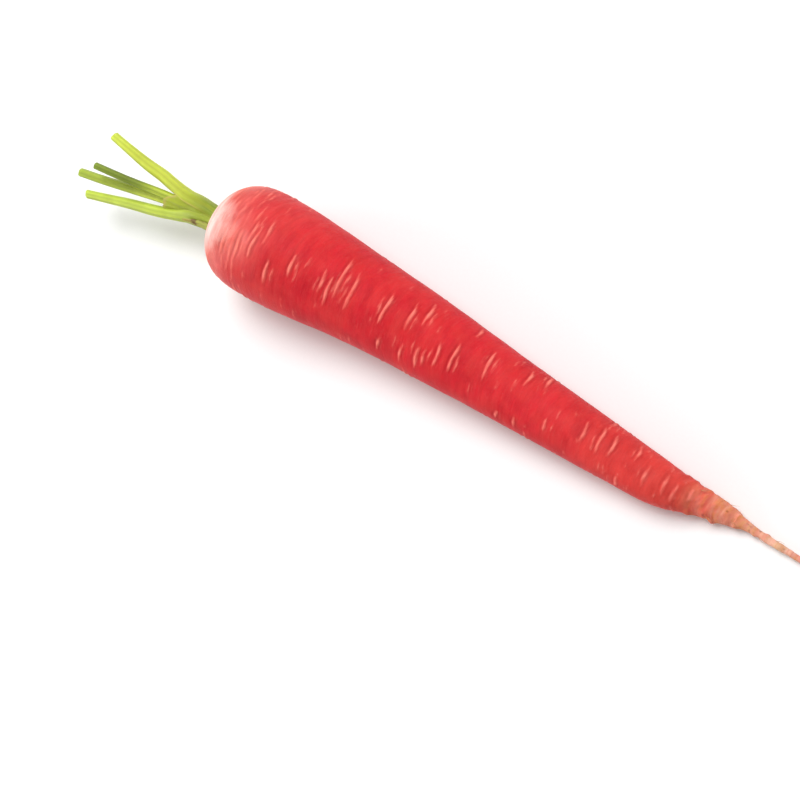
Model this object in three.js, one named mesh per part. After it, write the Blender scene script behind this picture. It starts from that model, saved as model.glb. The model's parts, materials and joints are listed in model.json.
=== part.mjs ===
// A red carrot, topped: one long taproot with its tail, and the cut foot of four leaf stalks.
// Millimetres, +Z up. While it is built, X runs from the crown's end at x = 0 to the tail, and the
// root lies on its side on z = 0. Last of all the carrot is centred over the origin.

import * as THREE from 'three';

// ---------------------------------------------------------------- driving dimensions: taproot

const ROOT_RADIUS = 19;
const ROOT_LENGTH = 262;
const SHOULDER_LENGTH = 20;
const SHOULDER_END_POWER = 2.8;
const SHOULDER_SIDE_POWER = 2.4;
const CROWN_DISC_RADIUS = 5.6;

// How deep the strip that the root rests on is pressed into its round underside.
const REST_DEPTH = 0.35;

// Past the shoulder: [distance from the crown's end, radius].
const TAPER = [
  [20, 19], [28, 18.9], [36, 18.3], [43, 17.6], [62, 15.7], [81, 14.4], [100, 13.1],
  [118, 11.75], [136, 10.6], [153, 9.6], [171, 8.45], [187, 7.3], [194, 6.1], [200, 4.8],
  [207, 3.8], [211, 3.1], [214, 2.35], [217, 1.65], [220, 1.35], [229, 1.1], [236, 0.9],
  [243, 0.7], [253, 0.5], [ROOT_LENGTH, 0.32],
];

// How far the root wanders sideways: [distance from the crown's end, y].
const DRIFT = [
  [0, 0], [30, 0], [60, 0.4], [80, 0.2], [100, -0.4], [136, -1.9], [171, -3.3], [189, -3.8],
  [201, -2.4], [216, -1.9], [229, -2.4], [243, -2.9], [ROOT_LENGTH, -3.8],
];

// The tail is held this high by the root's tip: [distance, height of its axis].
const TAIL_HEIGHT = [
  [214, 2.55], [218, 2.2], [226, 2.1], [238, 2], [250, 1.7], [ROOT_LENGTH, 1.4],
];

// Lenticel scars on the upper side: [distance, degrees from the top towards +Y, length, height].
const SCARS = [
  [16, -24, 5, 0.3], [22, -17, 11, 0.4], [27.5, -10, 6, 0.3], [35.5, -28, 8, 0.5],
  [43.5, -8, 8, 0.3], [55.5, -6, 6, 0.3], [58.5, -14, 9, 0.5], [61, 16, 12, 0.5],
  [66.5, 1, 13, 0.35], [80, 8, 10, 0.55], [81.5, -46, 6, 0.35], [89, 15, 10, 0.35],
  [90.5, -40, 6, 0.35], [93.5, 30, 11, 0.5], [96.5, -36, 8, 0.35], [99, -33, 4, 0.3],
  [103.5, -16, 9, 0.35], [109, -5, 11, 0.5], [110, 58, 7, 0.35], [120.5, 17, 10, 0.35],
  [129, -56, 4, 0.35], [134, 38, 7, 0.35], [136, -52, 5, 0.3], [139.5, 57, 8, 0.35],
  [147, -22, 5, 0.25], [160, 7, 6, 0.3], [166, 13, 8, 0.35], [170.5, 15, 6, 0.35],
  [175.5, -58, 5, 0.3], [178.5, 38, 5, 0.3], [184.5, -4, 6, 0.3], [191, 3, 5, 0.3],
  [194.5, -12, 5, 0.3], [199, 2, 4, 0.3],
];

// Each scar has two more at the same distance, round the sides and the underside.
const SCAR_TURN_MIN = 95;
const SCAR_TURN_SPREAD = 55;
const SCAR_RIDGE_WIDTH = 0.75;
const SCAR_GROOVE_OFFSET = 1.1;
const SCAR_GROOVE_SHARE = 0.5;
const SCAR_REACH = 3;

// Knobs of the rough tip and the tail: [distance, degrees from the top, radius, height].
const KNOBS = [
  [193, -62, 2.4, 0.35], [196, 150, 2.2, 0.4], [199, -80, 2, 0.45], [202, 75, 1.8, 0.3],
  [204.5, -45, 1.8, 0.55], [207, -95, 1.7, 0.6], [208, 20, 1.5, 0.35], [211.5, 5, 1.6, 0.45],
  [212, 110, 1.6, 0.35], [214.5, -55, 1.4, 0.4], [217.5, 60, 1.2, 0.25], [221, -70, 1, 0.35],
  [225, 85, 1, 0.3], [230, -20, 1, 0.35], [234, 120, 0.9, 0.3], [239, -90, 0.9, 0.25],
];
const KNOB_STEEPNESS = 1.6;

// Unevenness, as shares of the radius, and the distances over which each kind comes and goes.
const OVALNESS = 0.007;
const LOBES = 0.005;
const TIP_WRINKLES = 0.035;
const TIP_WRINKLES_BEGIN = [185, 203];
const TIP_WRINKLES_END = [214, 222];
const TAIL_BEADS = 0.06;
const TAIL_BEADS_BEGIN = [216, 224];
const CROWN_SMOOTH_ZONE = [0.2, 8];

// ---------------------------------------------------------------- driving dimensions: leaf stalks

// Stalk feet stand off the crown and off each other by this gap.
const GAP = 0.3;

// The neck that the stalk feet make together, on the axis of the shoulder.
const NECK_HEIGHT = ROOT_RADIUS - REST_DEPTH;
const NECK_CENTRE_Y = -0.9;
const NECK_OUTER_RADIUS = 4.5;
const NECK_INNER_RADIUS = 2.75;
const NECK_FLARE = 0.6;
const NECK_FLARE_ZONE = [2, 16];

// A clasping foot is a crescent with thin edges; past it a stalk is round with an inner channel.
const SHEATH_HALF_ANGLE = 84;
const SHEATH_EDGE_DROP = 0.45;
const SHEATH_EDGE_THICKNESS = 0.65;
const SHEATH_RIB = 0.1;
const STALK_HALF_ANGLE = 112;
const STALK_RIB_SHARE = 0.05;
const CHANNEL_HALF_ANGLE = 80;
const CHANNEL_FLOOR = 0.17;
const CHANNEL_SLOPE = 0.12;
const CHANNEL_WIDTH = 0.3;

// Two sheathing stalks clasp two slim ones. route is the middle of a stalk, from the neck's foot
// outwards. sheath is the distance at which its foot stops being a crescent, and the distance at
// which it is round. facing is the side of the neck that it clasps, in degrees from +Y towards +Z.
const SHEATHING_STALKS = [
  {
    name: 'leaf_stalk_outer',
    color: 0xd3dc68,
    facing: 8,
    sheath: [9, 27],
    width: [5, 3.5],
    route: [[0, 0, 0], [-5, 0, 0.2], [-10, 0, 0.8], [-15.5, 0.4, 2], [-19, 1.3, 2.9], [-24, 2.7, 4.2],
      [-28, 3.5, 4.9], [-35.5, 4.3, 6.2], [-47, 6.2, 8], [-53, 7.3, 9]],
  },
  {
    name: 'leaf_stalk_lower',
    color: 0xbacb70,
    facing: 184,
    sheath: [8, 26],
    width: [4.6, 2.9],
    route: [[0, 0, 0], [-5, 0, 0], [-10, -0.5, -0.2], [-15, -1.9, -0.7], [-19, -3.9, -1.1],
      [-24, -5.9, -1.4], [-30, -7.5, -1.7], [-40, -9.9, -2.1], [-49.5, -12.3, -2.5], [-59.5, -14.4, -2.9]],
  },
];

const SLIM_STALKS = [
  {
    name: 'leaf_stalk_dark',
    color: 0x8f9b50,
    radius: [1.05, 1],
    route: [[0, 0.1, 1.35], [-6, 0, 1.5], [-14, -0.4, 2.8], [-24.5, -1.4, 5], [-40, -3.4, 7.3],
      [-53.5, -4.7, 9.4]],
  },
  {
    name: 'leaf_stalk_middle',
    color: 0xa3b057,
    radius: [1.2, 1.25],
    route: [[0, -0.1, -1.35], [-6, -0.2, -1.35], [-14, -0.8, -0.9], [-27, -2.7, 0.6], [-39, -5, 1.3],
      [-54, -7.8, 2.3], [-63, -9.2, 2.8]],
  },
];

// A dried flake of an old leaf's sheath, standing along the neck: its route is
// [distance from the crown, distance out from the neck's axis].
const DRIED_SHEATH = {
  color: 0x8e884c,
  facing: 150,
  thickness: 0.7,
  width: [3.4, 0.9],
  narrowFrom: 2,
  route: [[0, 5], [4, 5.15], [8, 5.6], [11, 6.4], [13.5, 7.5]],
};

// ---------------------------------------------------------------- mesh fineness

const BODY_SIDES = 40;
const TIP_START = 196;
const TAIL_START = 220;
const SHOULDER_RINGS = 8;
const BODY_STEP = 4;
const TIP_STEP = 1.5;
const TAIL_STEP = 2.4;
const CLOSEST_RINGS = 0.45;
const SHEATH_ARC_POINTS = 11;
const SHEATH_STEPS = 22;
const SLIM_SIDES = 10;
const SLIM_STEPS = 13;
const FLAKE_STEPS = 9;
const FLAKE_ARC_POINTS = 4;

// ---------------------------------------------------------------- helpers

const radians = THREE.MathUtils.degToRad;
const lerp = THREE.MathUtils.lerp;
const smoothstep = THREE.MathUtils.smoothstep;

// A smooth curve through [position, value] pairs, read at any position.
function curveThrough(pairs) {
  const positions = pairs.map(([position]) => position);
  const values = pairs.map(([, value]) => value);
  const interpolant = new THREE.CubicInterpolant(positions, values, 1);
  return (position) => interpolant.evaluate(position)[0];
}

// The same draw from 0 to 1 each time for a given number.
function draw(number) {
  const value = Math.sin(number * 12.9898) * 43758.5453;
  return value - Math.floor(value);
}

// The turn from one angle to another by the shorter way, in radians.
function turnBetween(from, to) {
  const turn = (to - from) % (2 * Math.PI);
  return Math.atan2(Math.sin(turn), Math.cos(turn));
}

// A closed body from rings of points. Each ring has as many points as the one before, or half.
function skinRings(rings, startPoint, endPoint) {
  const positions = [];
  const index = [];
  const starts = [];
  for (const ring of rings) {
    starts.push(positions.length / 3);
    ring.forEach((point) => positions.push(point.x, point.y, point.z));
  }
  const startPole = positions.length / 3;
  positions.push(startPoint.x, startPoint.y, startPoint.z);
  const endPole = startPole + 1;
  positions.push(endPoint.x, endPoint.y, endPoint.z);

  for (let r = 0; r + 1 < rings.length; r++) {
    const count = rings[r].length;
    const nextCount = rings[r + 1].length;
    for (let k = 0; k < count; k++) {
      const a = starts[r] + k;
      const b = starts[r] + (k + 1) % count;
      const across = nextCount === count;
      const c = starts[r + 1] + (across ? k : k >> 1);
      const d = starts[r + 1] + (across ? (k + 1) % nextCount : ((k + 1) >> 1) % nextCount);
      index.push(a, d, b);
      if (c !== d) index.push(a, c, d);
    }
  }
  const first = starts[0];
  const firstCount = rings[0].length;
  for (let k = 0; k < firstCount; k++) index.push(startPole, first + k, first + (k + 1) % firstCount);
  const last = starts[rings.length - 1];
  const lastCount = rings[rings.length - 1].length;
  for (let k = 0; k < lastCount; k++) index.push(endPole, last + (k + 1) % lastCount, last + k);
  return closedGeometry(positions, index);
}

function closedGeometry(positions, index) {
  const geometry = new THREE.BufferGeometry();
  geometry.setAttribute('position', new THREE.Float32BufferAttribute(positions, 3));
  geometry.setIndex(index);
  geometry.computeVertexNormals();
  return geometry;
}

function makeMesh(name, geometry, color, roughness) {
  const material = new THREE.MeshStandardMaterial({ color, roughness, metalness: 0 });
  const mesh = new THREE.Mesh(geometry, material);
  mesh.name = name;
  return mesh;
}

// ---------------------------------------------------------------- taproot

const taperAt = curveThrough(TAPER);
const driftAt = curveThrough(DRIFT);
const tailHeightAt = curveThrough(TAIL_HEIGHT);

// The shoulder is a quarter of a squarish oval between the crown's disc and the widest ring.
function shoulderDistance(radius) {
  const outward = Math.pow(radius / ROOT_RADIUS, SHOULDER_SIDE_POWER);
  return SHOULDER_LENGTH * (1 - Math.pow(1 - outward, 1 / SHOULDER_END_POWER));
}

function shoulderRadius(x) {
  const back = Math.pow(1 - x / SHOULDER_LENGTH, SHOULDER_END_POWER);
  return ROOT_RADIUS * Math.pow(1 - back, 1 / SHOULDER_SIDE_POWER);
}

function radiusAt(x) {
  return x < SHOULDER_LENGTH ? shoulderRadius(x) : taperAt(x);
}

// The underside lies along the floor, the crown keeps the shoulder's height, the tail its own.
function heightAt(x) {
  if (x < SHOULDER_LENGTH) return NECK_HEIGHT;
  if (x > TAIL_HEIGHT[0][0]) return tailHeightAt(x);
  return taperAt(x) - REST_DEPTH;
}

// Every scar, with the two that each one has further round.
const allScars = SCARS.flatMap(([x, degrees, length, height], i) => {
  const left = degrees + SCAR_TURN_MIN + SCAR_TURN_SPREAD * draw(i + 1);
  const right = degrees - SCAR_TURN_MIN - SCAR_TURN_SPREAD * draw(i + 101);
  return [degrees, left, right].map((turn) => ({ x, angle: radians(turn), length, height }));
});

// A scar is a raised lip across the root with a groove on its crown side, fading at both ends.
function scarRelief(x, angle, radius) {
  let relief = 0;
  for (const scar of allScars) {
    const along = x - scar.x;
    if (Math.abs(along) > SCAR_REACH) continue;
    const around = turnBetween(scar.angle, angle) * radius / (scar.length / 2);
    const fade = Math.max(0, 1 - around * around);
    const lip = Math.exp(-Math.pow(along / SCAR_RIDGE_WIDTH, 2));
    const groove = Math.exp(-Math.pow((along + SCAR_GROOVE_OFFSET) / SCAR_RIDGE_WIDTH, 2));
    relief += scar.height * fade * (lip - SCAR_GROOVE_SHARE * groove);
  }
  return relief;
}

function knobRelief(x, angle, radius) {
  let relief = 0;
  for (const [knobX, degrees, size, height] of KNOBS) {
    const around = turnBetween(radians(degrees), angle) * Math.max(radius, size);
    const distance = Math.hypot(x - knobX, around) / size;
    relief += height * Math.exp(-KNOB_STEEPNESS * distance * distance);
  }
  return relief;
}

// The body is not quite round, and the tip is wrinkled lengthwise and across.
function unevenness(x, angle, radius) {
  const body = OVALNESS * Math.cos(2 * angle + 1 + x / 90) + LOBES * Math.cos(3 * angle - x / 45);
  const wrinkled = smoothstep(x, ...TIP_WRINKLES_BEGIN) * (1 - smoothstep(x, ...TIP_WRINKLES_END));
  const wrinkles = Math.sin(5 * angle + x * 0.9) + Math.sin(3 * angle - x * 1.7);
  const beads = smoothstep(x, ...TAIL_BEADS_BEGIN) * Math.sin(x * 1.15 + Math.cos(angle));
  return radius * (body + TIP_WRINKLES * wrinkled * wrinkles + TAIL_BEADS * beads);
}

// Where the rings stand: close together over scars, knobs and the shoulder, wider elsewhere.
function ringPlaces() {
  const places = [ROOT_LENGTH];
  const startAngle = Math.asin(CROWN_DISC_RADIUS / ROOT_RADIUS);
  for (let k = 0; k <= SHOULDER_RINGS; k++) {
    const angle = lerp(startAngle, Math.PI / 2, k / SHOULDER_RINGS);
    places.push(shoulderDistance(ROOT_RADIUS * Math.sin(angle)));
  }
  for (const [x] of SCARS) places.push(x - SCAR_GROOVE_OFFSET, x, x + SCAR_RIDGE_WIDTH);
  for (let x = TIP_START; x < TAIL_START; x += TIP_STEP) places.push(x);
  for (let x = TAIL_START; x < ROOT_LENGTH; x += TAIL_STEP) places.push(x);
  places.sort((a, b) => a - b);

  const kept = [places[0]];
  for (const place of places.slice(1)) {
    const last = kept[kept.length - 1];
    if (place - last < CLOSEST_RINGS) continue;
    const extra = Math.ceil((place - last) / BODY_STEP) - 1;
    for (let k = 1; k <= extra; k++) kept.push(last + (place - last) * k / (extra + 1));
    kept.push(place);
  }
  return kept;
}

function sidesAt(x) {
  if (x < TIP_START) return BODY_SIDES;
  return x < TAIL_START ? BODY_SIDES / 2 : BODY_SIDES / 4;
}

function rootRing(x) {
  const sides = sidesAt(x);
  const radius = radiusAt(x);
  const centreY = driftAt(x);
  const centreZ = heightAt(x);
  const ring = [];
  for (let k = 0; k < sides; k++) {
    const angle = k / sides * 2 * Math.PI;
    const crownFade = smoothstep(x, ...CROWN_SMOOTH_ZONE);
    const relief = scarRelief(x, angle, radius) + knobRelief(x, angle, radius);
    const r = radius + crownFade * (relief + unevenness(x, angle, radius));
    const z = Math.max(0, centreZ + r * Math.cos(angle));
    ring.push(new THREE.Vector3(x, centreY + r * Math.sin(angle), z));
  }
  return ring;
}

function makeTaproot() {
  const places = ringPlaces();
  const rings = places.map(rootRing);
  const crownPoint = new THREE.Vector3(places[0], driftAt(0), NECK_HEIGHT);
  const tailPoint = new THREE.Vector3(ROOT_LENGTH, driftAt(ROOT_LENGTH), heightAt(ROOT_LENGTH));
  return makeMesh('taproot', skinRings(rings, crownPoint, tailPoint), 0xd6383f, 0.42);
}

// ---------------------------------------------------------------- leaf stalks

// The stalk feet start just short of the crown's flat disc.
const FOOT_X = shoulderDistance(CROWN_DISC_RADIUS) - GAP;

function routeCurve(route) {
  const foot = new THREE.Vector3(FOOT_X, NECK_CENTRE_Y, NECK_HEIGHT);
  const points = route.map((point) => new THREE.Vector3(...point).add(foot));
  return new THREE.CatmullRomCurve3(points, false, 'centripetal');
}

// The frame across a stalk: its sideways direction lies level.
function crossFrame(curve, t) {
  const centre = curve.getPoint(t);
  const along = curve.getTangent(t);
  const side = new THREE.Vector3(0, 0, 1).cross(along).normalize().negate();
  const up = along.clone().cross(side).negate();
  return { centre, side, up };
}

function placeSection(section, frame, turn) {
  const cos = Math.cos(turn);
  const sin = Math.sin(turn);
  return section.map(([out, across]) => frame.centre.clone()
    .addScaledVector(frame.side, out * cos - across * sin)
    .addScaledVector(frame.up, out * sin + across * cos));
}

// A crescent that clasps the neck: an outer arc with ribs, thin edges, and an inner arc.
function crescentSection(flare) {
  const outer = NECK_OUTER_RADIUS + flare;
  const inner = NECK_INNER_RADIUS + flare;
  const edgeOuter = outer - SHEATH_EDGE_DROP;
  const outside = [];
  const inside = [];
  for (let k = 0; k < SHEATH_ARC_POINTS; k++) {
    const sweep = lerp(-1, 1, k / (SHEATH_ARC_POINTS - 1));
    const swing = sweep * radians(SHEATH_HALF_ANGLE);
    const edge = Math.pow(sweep, 4);
    const rib = k % 2 === 1 ? SHEATH_RIB : 0;
    const r = lerp(outer + rib, edgeOuter, edge);
    const s = lerp(inner, edgeOuter - SHEATH_EDGE_THICKNESS, edge);
    outside.push([r * Math.cos(swing), r * Math.sin(swing)]);
    inside.push([s * Math.cos(swing), s * Math.sin(swing)]);
  }
  return outside.concat(inside.reverse());
}

// A stalk's own section: round and ribbed outside, with a shallow channel on its inner face.
function stalkSection(width) {
  const outside = [];
  const inside = [];
  for (let k = 0; k < SHEATH_ARC_POINTS; k++) {
    const sweep = lerp(-1, 1, k / (SHEATH_ARC_POINTS - 1));
    const swing = sweep * radians(STALK_HALF_ANGLE);
    const r = width / 2 * (1 + (k % 2 === 1 ? STALK_RIB_SHARE : -STALK_RIB_SHARE));
    outside.push([r * Math.cos(swing), r * Math.sin(swing)]);
    const across = Math.sin(sweep * radians(CHANNEL_HALF_ANGLE));
    const depth = CHANNEL_FLOOR + CHANNEL_SLOPE * across * across;
    inside.push([-width * depth, width * CHANNEL_WIDTH * across]);
  }
  return outside.concat(inside.reverse());
}

function blendSections(from, to, share) {
  return from.map(([out, across], k) => [lerp(out, to[k][0], share), lerp(across, to[k][1], share)]);
}

function makeSheathingStalk({ name, color, facing, sheath, width, route }) {
  const curve = routeCurve(route);
  const length = curve.getLength();
  const rings = [];
  for (let k = 0; k <= SHEATH_STEPS; k++) {
    const t = curve.getUtoTmapping(k / SHEATH_STEPS);
    const distance = length * k / SHEATH_STEPS;
    const share = smoothstep(distance, sheath[0], sheath[1]);
    const foot = crescentSection(NECK_FLARE * smoothstep(distance, ...NECK_FLARE_ZONE));
    const shaft = stalkSection(lerp(width[0], width[1], smoothstep(distance, sheath[1], length)));
    rings.push(placeSection(blendSections(foot, shaft, share), crossFrame(curve, t), radians(facing)));
  }
  return makeMesh(name, skinSections(rings), color, 0.5);
}

// A closed body from rings that all have the same number of points, with flat ends.
function skinSections(rings) {
  const positions = rings.flatMap((ring) => ring.flatMap((point) => [point.x, point.y, point.z]));
  const count = rings[0].length;
  const index = [];
  for (let r = 0; r + 1 < rings.length; r++) {
    for (let k = 0; k < count; k++) {
      const a = r * count + k;
      const b = r * count + (k + 1) % count;
      index.push(a, b + count, b, a, a + count, b + count);
    }
  }
  for (const [ring, flip] of [[0, false], [rings.length - 1, true]]) {
    const origin = rings[ring][0];
    const across = rings[ring][1].clone().sub(origin).normalize();
    const normal = across.clone().cross(rings[ring][2].clone().sub(origin)).normalize();
    const upward = normal.clone().cross(across);
    const flat = rings[ring].map((point) => {
      const offset = point.clone().sub(origin);
      return new THREE.Vector2(offset.dot(across), offset.dot(upward));
    });
    for (const [a, b, c] of THREE.ShapeUtils.triangulateShape(flat, [])) {
      const corners = [a, b, c].map((corner) => ring * count + corner);
      index.push(...(flip ? corners.reverse() : corners));
    }
  }
  return closedGeometry(positions, index);
}

function makeSlimStalk({ name, color, radius, route }) {
  const curve = routeCurve(route);
  const rings = [];
  for (let k = 0; k <= SLIM_STEPS; k++) {
    const share = k / SLIM_STEPS;
    const section = [];
    for (let s = 0; s < SLIM_SIDES; s++) {
      const angle = s / SLIM_SIDES * 2 * Math.PI;
      const rib = s % 2 === 0 ? STALK_RIB_SHARE : -STALK_RIB_SHARE;
      const r = lerp(radius[0], radius[1], share) * (1 + rib);
      section.push([r * Math.cos(angle), r * Math.sin(angle)]);
    }
    rings.push(placeSection(section, crossFrame(curve, curve.getUtoTmapping(share)), 0));
  }
  return makeMesh(name, skinSections(rings), color, 0.5);
}

// ---------------------------------------------------------------- dried sheath

// A thin curved flake: its section is an arc as wide as the flake, bent round the neck.
function makeDriedSheath() {
  const { color, facing, thickness, width, narrowFrom, route } = DRIED_SHEATH;
  const outAt = curveThrough(route);
  const length = route[route.length - 1][0];
  const rings = [];
  for (let k = 0; k <= FLAKE_STEPS; k++) {
    const distance = length * k / FLAKE_STEPS;
    const out = outAt(distance);
    const halfWidth = lerp(width[0], width[1], smoothstep(distance, narrowFrom, length)) / 2;
    const ring = [];
    for (const [radius, direction] of [[out + thickness, 1], [out, -1]]) {
      for (let p = 0; p < FLAKE_ARC_POINTS; p++) {
        const sweep = lerp(-1, 1, p / (FLAKE_ARC_POINTS - 1));
        const angle = radians(facing) + direction * sweep * halfWidth / out;
        const y = NECK_CENTRE_Y + radius * Math.cos(angle);
        const z = NECK_HEIGHT + radius * Math.sin(angle);
        ring.push(new THREE.Vector3(FOOT_X - distance, y, z));
      }
    }
    rings.push(ring);
  }
  return makeMesh('dried_sheath', skinSections(rings), color, 0.8);
}

// ---------------------------------------------------------------- assembly

const carrot = new THREE.Group();
carrot.add(makeTaproot());
for (const stalk of SHEATHING_STALKS) carrot.add(makeSheathingStalk(stalk));
for (const stalk of SLIM_STALKS) carrot.add(makeSlimStalk(stalk));
carrot.add(makeDriedSheath());

// The origin is under the middle of the carrot's box, on the surface that it lies on.
const bounds = new THREE.Box3().setFromObject(carrot);
const middle = bounds.getCenter(new THREE.Vector3());
carrot.position.set(-middle.x, -middle.y, -bounds.min.z);

export default carrot;
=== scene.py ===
"""A topped red carrot: its skin, leaf stalks and hairs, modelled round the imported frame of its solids.

Sizes in the classes are millimetres. Along a piece, distance runs from the crown's end: towards the
tail on the root, and outwards on a leaf stalk. MM turns millimetres into Blender's metres, and places
closer together than NEAR count as one.
"""

import json
import logging
import math
from dataclasses import dataclass
from enum import Enum
from typing import NamedTuple

import bpy
import numpy as np
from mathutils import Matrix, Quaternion, Vector, noise

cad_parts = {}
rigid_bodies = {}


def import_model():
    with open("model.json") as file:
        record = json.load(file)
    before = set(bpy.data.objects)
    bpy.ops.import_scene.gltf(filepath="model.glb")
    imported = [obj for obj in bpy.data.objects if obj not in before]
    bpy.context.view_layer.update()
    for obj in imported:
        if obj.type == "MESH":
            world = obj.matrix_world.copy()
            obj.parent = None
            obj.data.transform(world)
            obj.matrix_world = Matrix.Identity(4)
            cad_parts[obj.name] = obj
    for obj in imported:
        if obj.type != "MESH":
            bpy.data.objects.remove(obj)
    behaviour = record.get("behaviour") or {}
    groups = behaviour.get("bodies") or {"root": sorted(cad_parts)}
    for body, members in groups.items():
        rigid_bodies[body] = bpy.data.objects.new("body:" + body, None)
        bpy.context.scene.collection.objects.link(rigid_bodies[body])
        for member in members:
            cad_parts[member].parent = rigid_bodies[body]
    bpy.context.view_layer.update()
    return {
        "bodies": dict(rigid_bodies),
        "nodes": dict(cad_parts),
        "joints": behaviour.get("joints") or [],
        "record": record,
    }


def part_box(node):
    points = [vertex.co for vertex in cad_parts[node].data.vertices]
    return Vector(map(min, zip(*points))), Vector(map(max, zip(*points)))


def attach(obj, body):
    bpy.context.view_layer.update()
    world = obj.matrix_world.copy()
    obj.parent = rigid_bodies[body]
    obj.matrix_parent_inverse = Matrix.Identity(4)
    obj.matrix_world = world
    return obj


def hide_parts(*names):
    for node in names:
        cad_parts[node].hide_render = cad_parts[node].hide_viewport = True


MM = 0.001
NEAR = 0.01
BODY = "root"
SMOOTH_BELOW = math.radians(50)
FULL_TURN = 2 * math.pi
LOG = logging.getLogger("carrot")

Array = np.ndarray
Piece = bpy.types.Object
Socket = bpy.types.NodeSocket
Zone = tuple[float, float]
Triple = tuple[float, float, float]
Colour = tuple[float, float, float, float]
Source = Socket | float | Colour
Pairs = tuple[Zone, ...]
Rows = tuple[tuple[float, float, float, float], ...]
ThreeArrays = tuple[Array, Array, Array]


class Node(Enum):
    """The solids of the frame that the modelled pieces stand for."""

    TAPROOT = "taproot"
    STALK_OUTER = "leaf_stalk_outer"
    STALK_LOWER = "leaf_stalk_lower"
    STALK_DARK = "leaf_stalk_dark"
    STALK_MIDDLE = "leaf_stalk_middle"
    DRIED_SHEATH = "dried_sheath"


class Slot(Enum):
    """The record's material slots."""

    SKIN = "root_skin"
    YELLOW_GREEN = "stalk_yellow_green"
    PALE_GREEN = "stalk_pale_green"
    DARK_GREEN = "stalk_dark_green"
    GREEN = "stalk_green"
    DRIED = "dried_leaf"


class Ends(Enum):
    """How the ends of a turned blank are closed."""

    FAN = "TRIFAN"
    FACE = "NGON"


# ---- numbers


def smoothstep(value: Array | float, start: float, end: float) -> Array:
    """Return 0 before start, 1 after end and a smooth rise between them."""
    share = np.clip((np.asarray(value, float) - start) / (end - start), 0.0, 1.0)
    return share * share * (3.0 - 2.0 * share)


def between(first: Array | float, second: Array | float, share: Array | float) -> Array:
    """Return the value that lies a share of the way from first to second."""
    return first + (second - first) * share


def cubic(start: Array, end: Array, leave: Array, arrive: Array, share: Array) -> Array:
    """Return the cubic curve from start to end, with these slopes there, at a share of the way."""
    eased = share * share * (3.0 - 2.0 * share)
    return between(start, end, eased) + share * (1.0 - share) * (leave * (1.0 - share) - arrive * share)


def inside_zones(value: Array | float, rise: Zone, fall: Zone) -> Array:
    """Return 1 from one zone to another: it rises over the first and falls over the second."""
    return smoothstep(value, *rise) * (1 - smoothstep(value, *fall))


def bell(offset: Array, width: Array | float) -> Array:
    """Return a bump of height 1 that falls away on both sides of zero."""
    return np.exp(-((offset / width) ** 2))


def shorter_turn(start: float, end: Array) -> Array:
    """Return the turn from one angle to others by the shorter way, in radians."""
    return np.arctan2(np.sin(end - start), np.cos(end - start))


def draw(number: int) -> float:
    """Return the same draw from 0 to 1 each time for a given number."""
    value = math.sin(number * 12.9898) * 43758.5453
    return value - math.floor(value)


def draw_within(number: int, most: float) -> float:
    """Return the same draw from -most to most each time for a given number."""
    return most * (2 * draw(number) - 1)


def ridges(angle: Array) -> Array:
    """Return a wave from 0 in its furrows to 1 on its ridges, of which there is one for each full turn."""
    return 0.5 + 0.5 * np.cos(angle)


def full_circle(sides: int) -> Array:
    """Return the angles of evenly spaced sides, in radians."""
    return np.arange(sides) / sides * FULL_TURN


def polar(radius: Array, angle: Array) -> Array:
    """Return (out, across) for each radius and angle."""
    return np.stack([radius * np.cos(angle), radius * np.sin(angle)], axis=-1)


def noise_at(points: Array, spacing: float, seed: int) -> Array:
    """Return smooth noise, from about -1 to 1, at each point.

    Args:
        points: Places, with x, y and z on the last axis.
        spacing: How far apart the noise's hills stand, in the unit of the points.
        seed: Which noise to read.

    Returns:
        An array of the points' shape without its last axis.
    """
    flat = points.reshape(-1, 3) / spacing + 31.7 * seed
    values = np.array([noise.noise(point) for point in flat.tolist()])
    return values.reshape(points.shape[:-1])


def directions_across(along: Array) -> tuple[Array, Array]:
    """Return the level and the upward direction across each direction of travel.

    Args:
        along: The directions, of any length.

    Returns:
        The level directions and the upward ones, each of length 1.
    """
    along = along / np.linalg.norm(along, axis=1, keepdims=True)
    level = np.cross([0.0, 0.0, 1.0], along)
    level /= np.linalg.norm(level, axis=1, keepdims=True)
    return level, np.cross(along, level)


class SmoothCurve:
    """A cubic curve through (place, value) pairs, level beyond both ends."""

    def __init__(self, pairs: Pairs) -> None:
        """Find the curve's slope at each of the pairs.

        Args:
            pairs: The pairs, in the order of their places.
        """
        self.places, self.values = np.array(pairs, float).T
        slopes = np.diff(self.values) / np.diff(self.places)
        self.slopes = (np.append(slopes, slopes[-1]) + np.insert(slopes, 0, slopes[0])) / 2

    def __call__(self, place: Array | float) -> Array:
        """Return the curve's value at each place.

        Args:
            place: The places.

        Returns:
            The values, level beyond the ends.
        """
        x = np.clip(np.asarray(place, float), self.places[0], self.places[-1])
        high = np.clip(np.searchsorted(self.places, x, side="right"), 1, len(self.places) - 1)
        low = high - 1
        span = self.places[high] - self.places[low]
        leave, arrive = span * self.slopes[low], span * self.slopes[high]
        return cubic(self.values[low], self.values[high], leave, arrive, (x - self.places[low]) / span)


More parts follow.
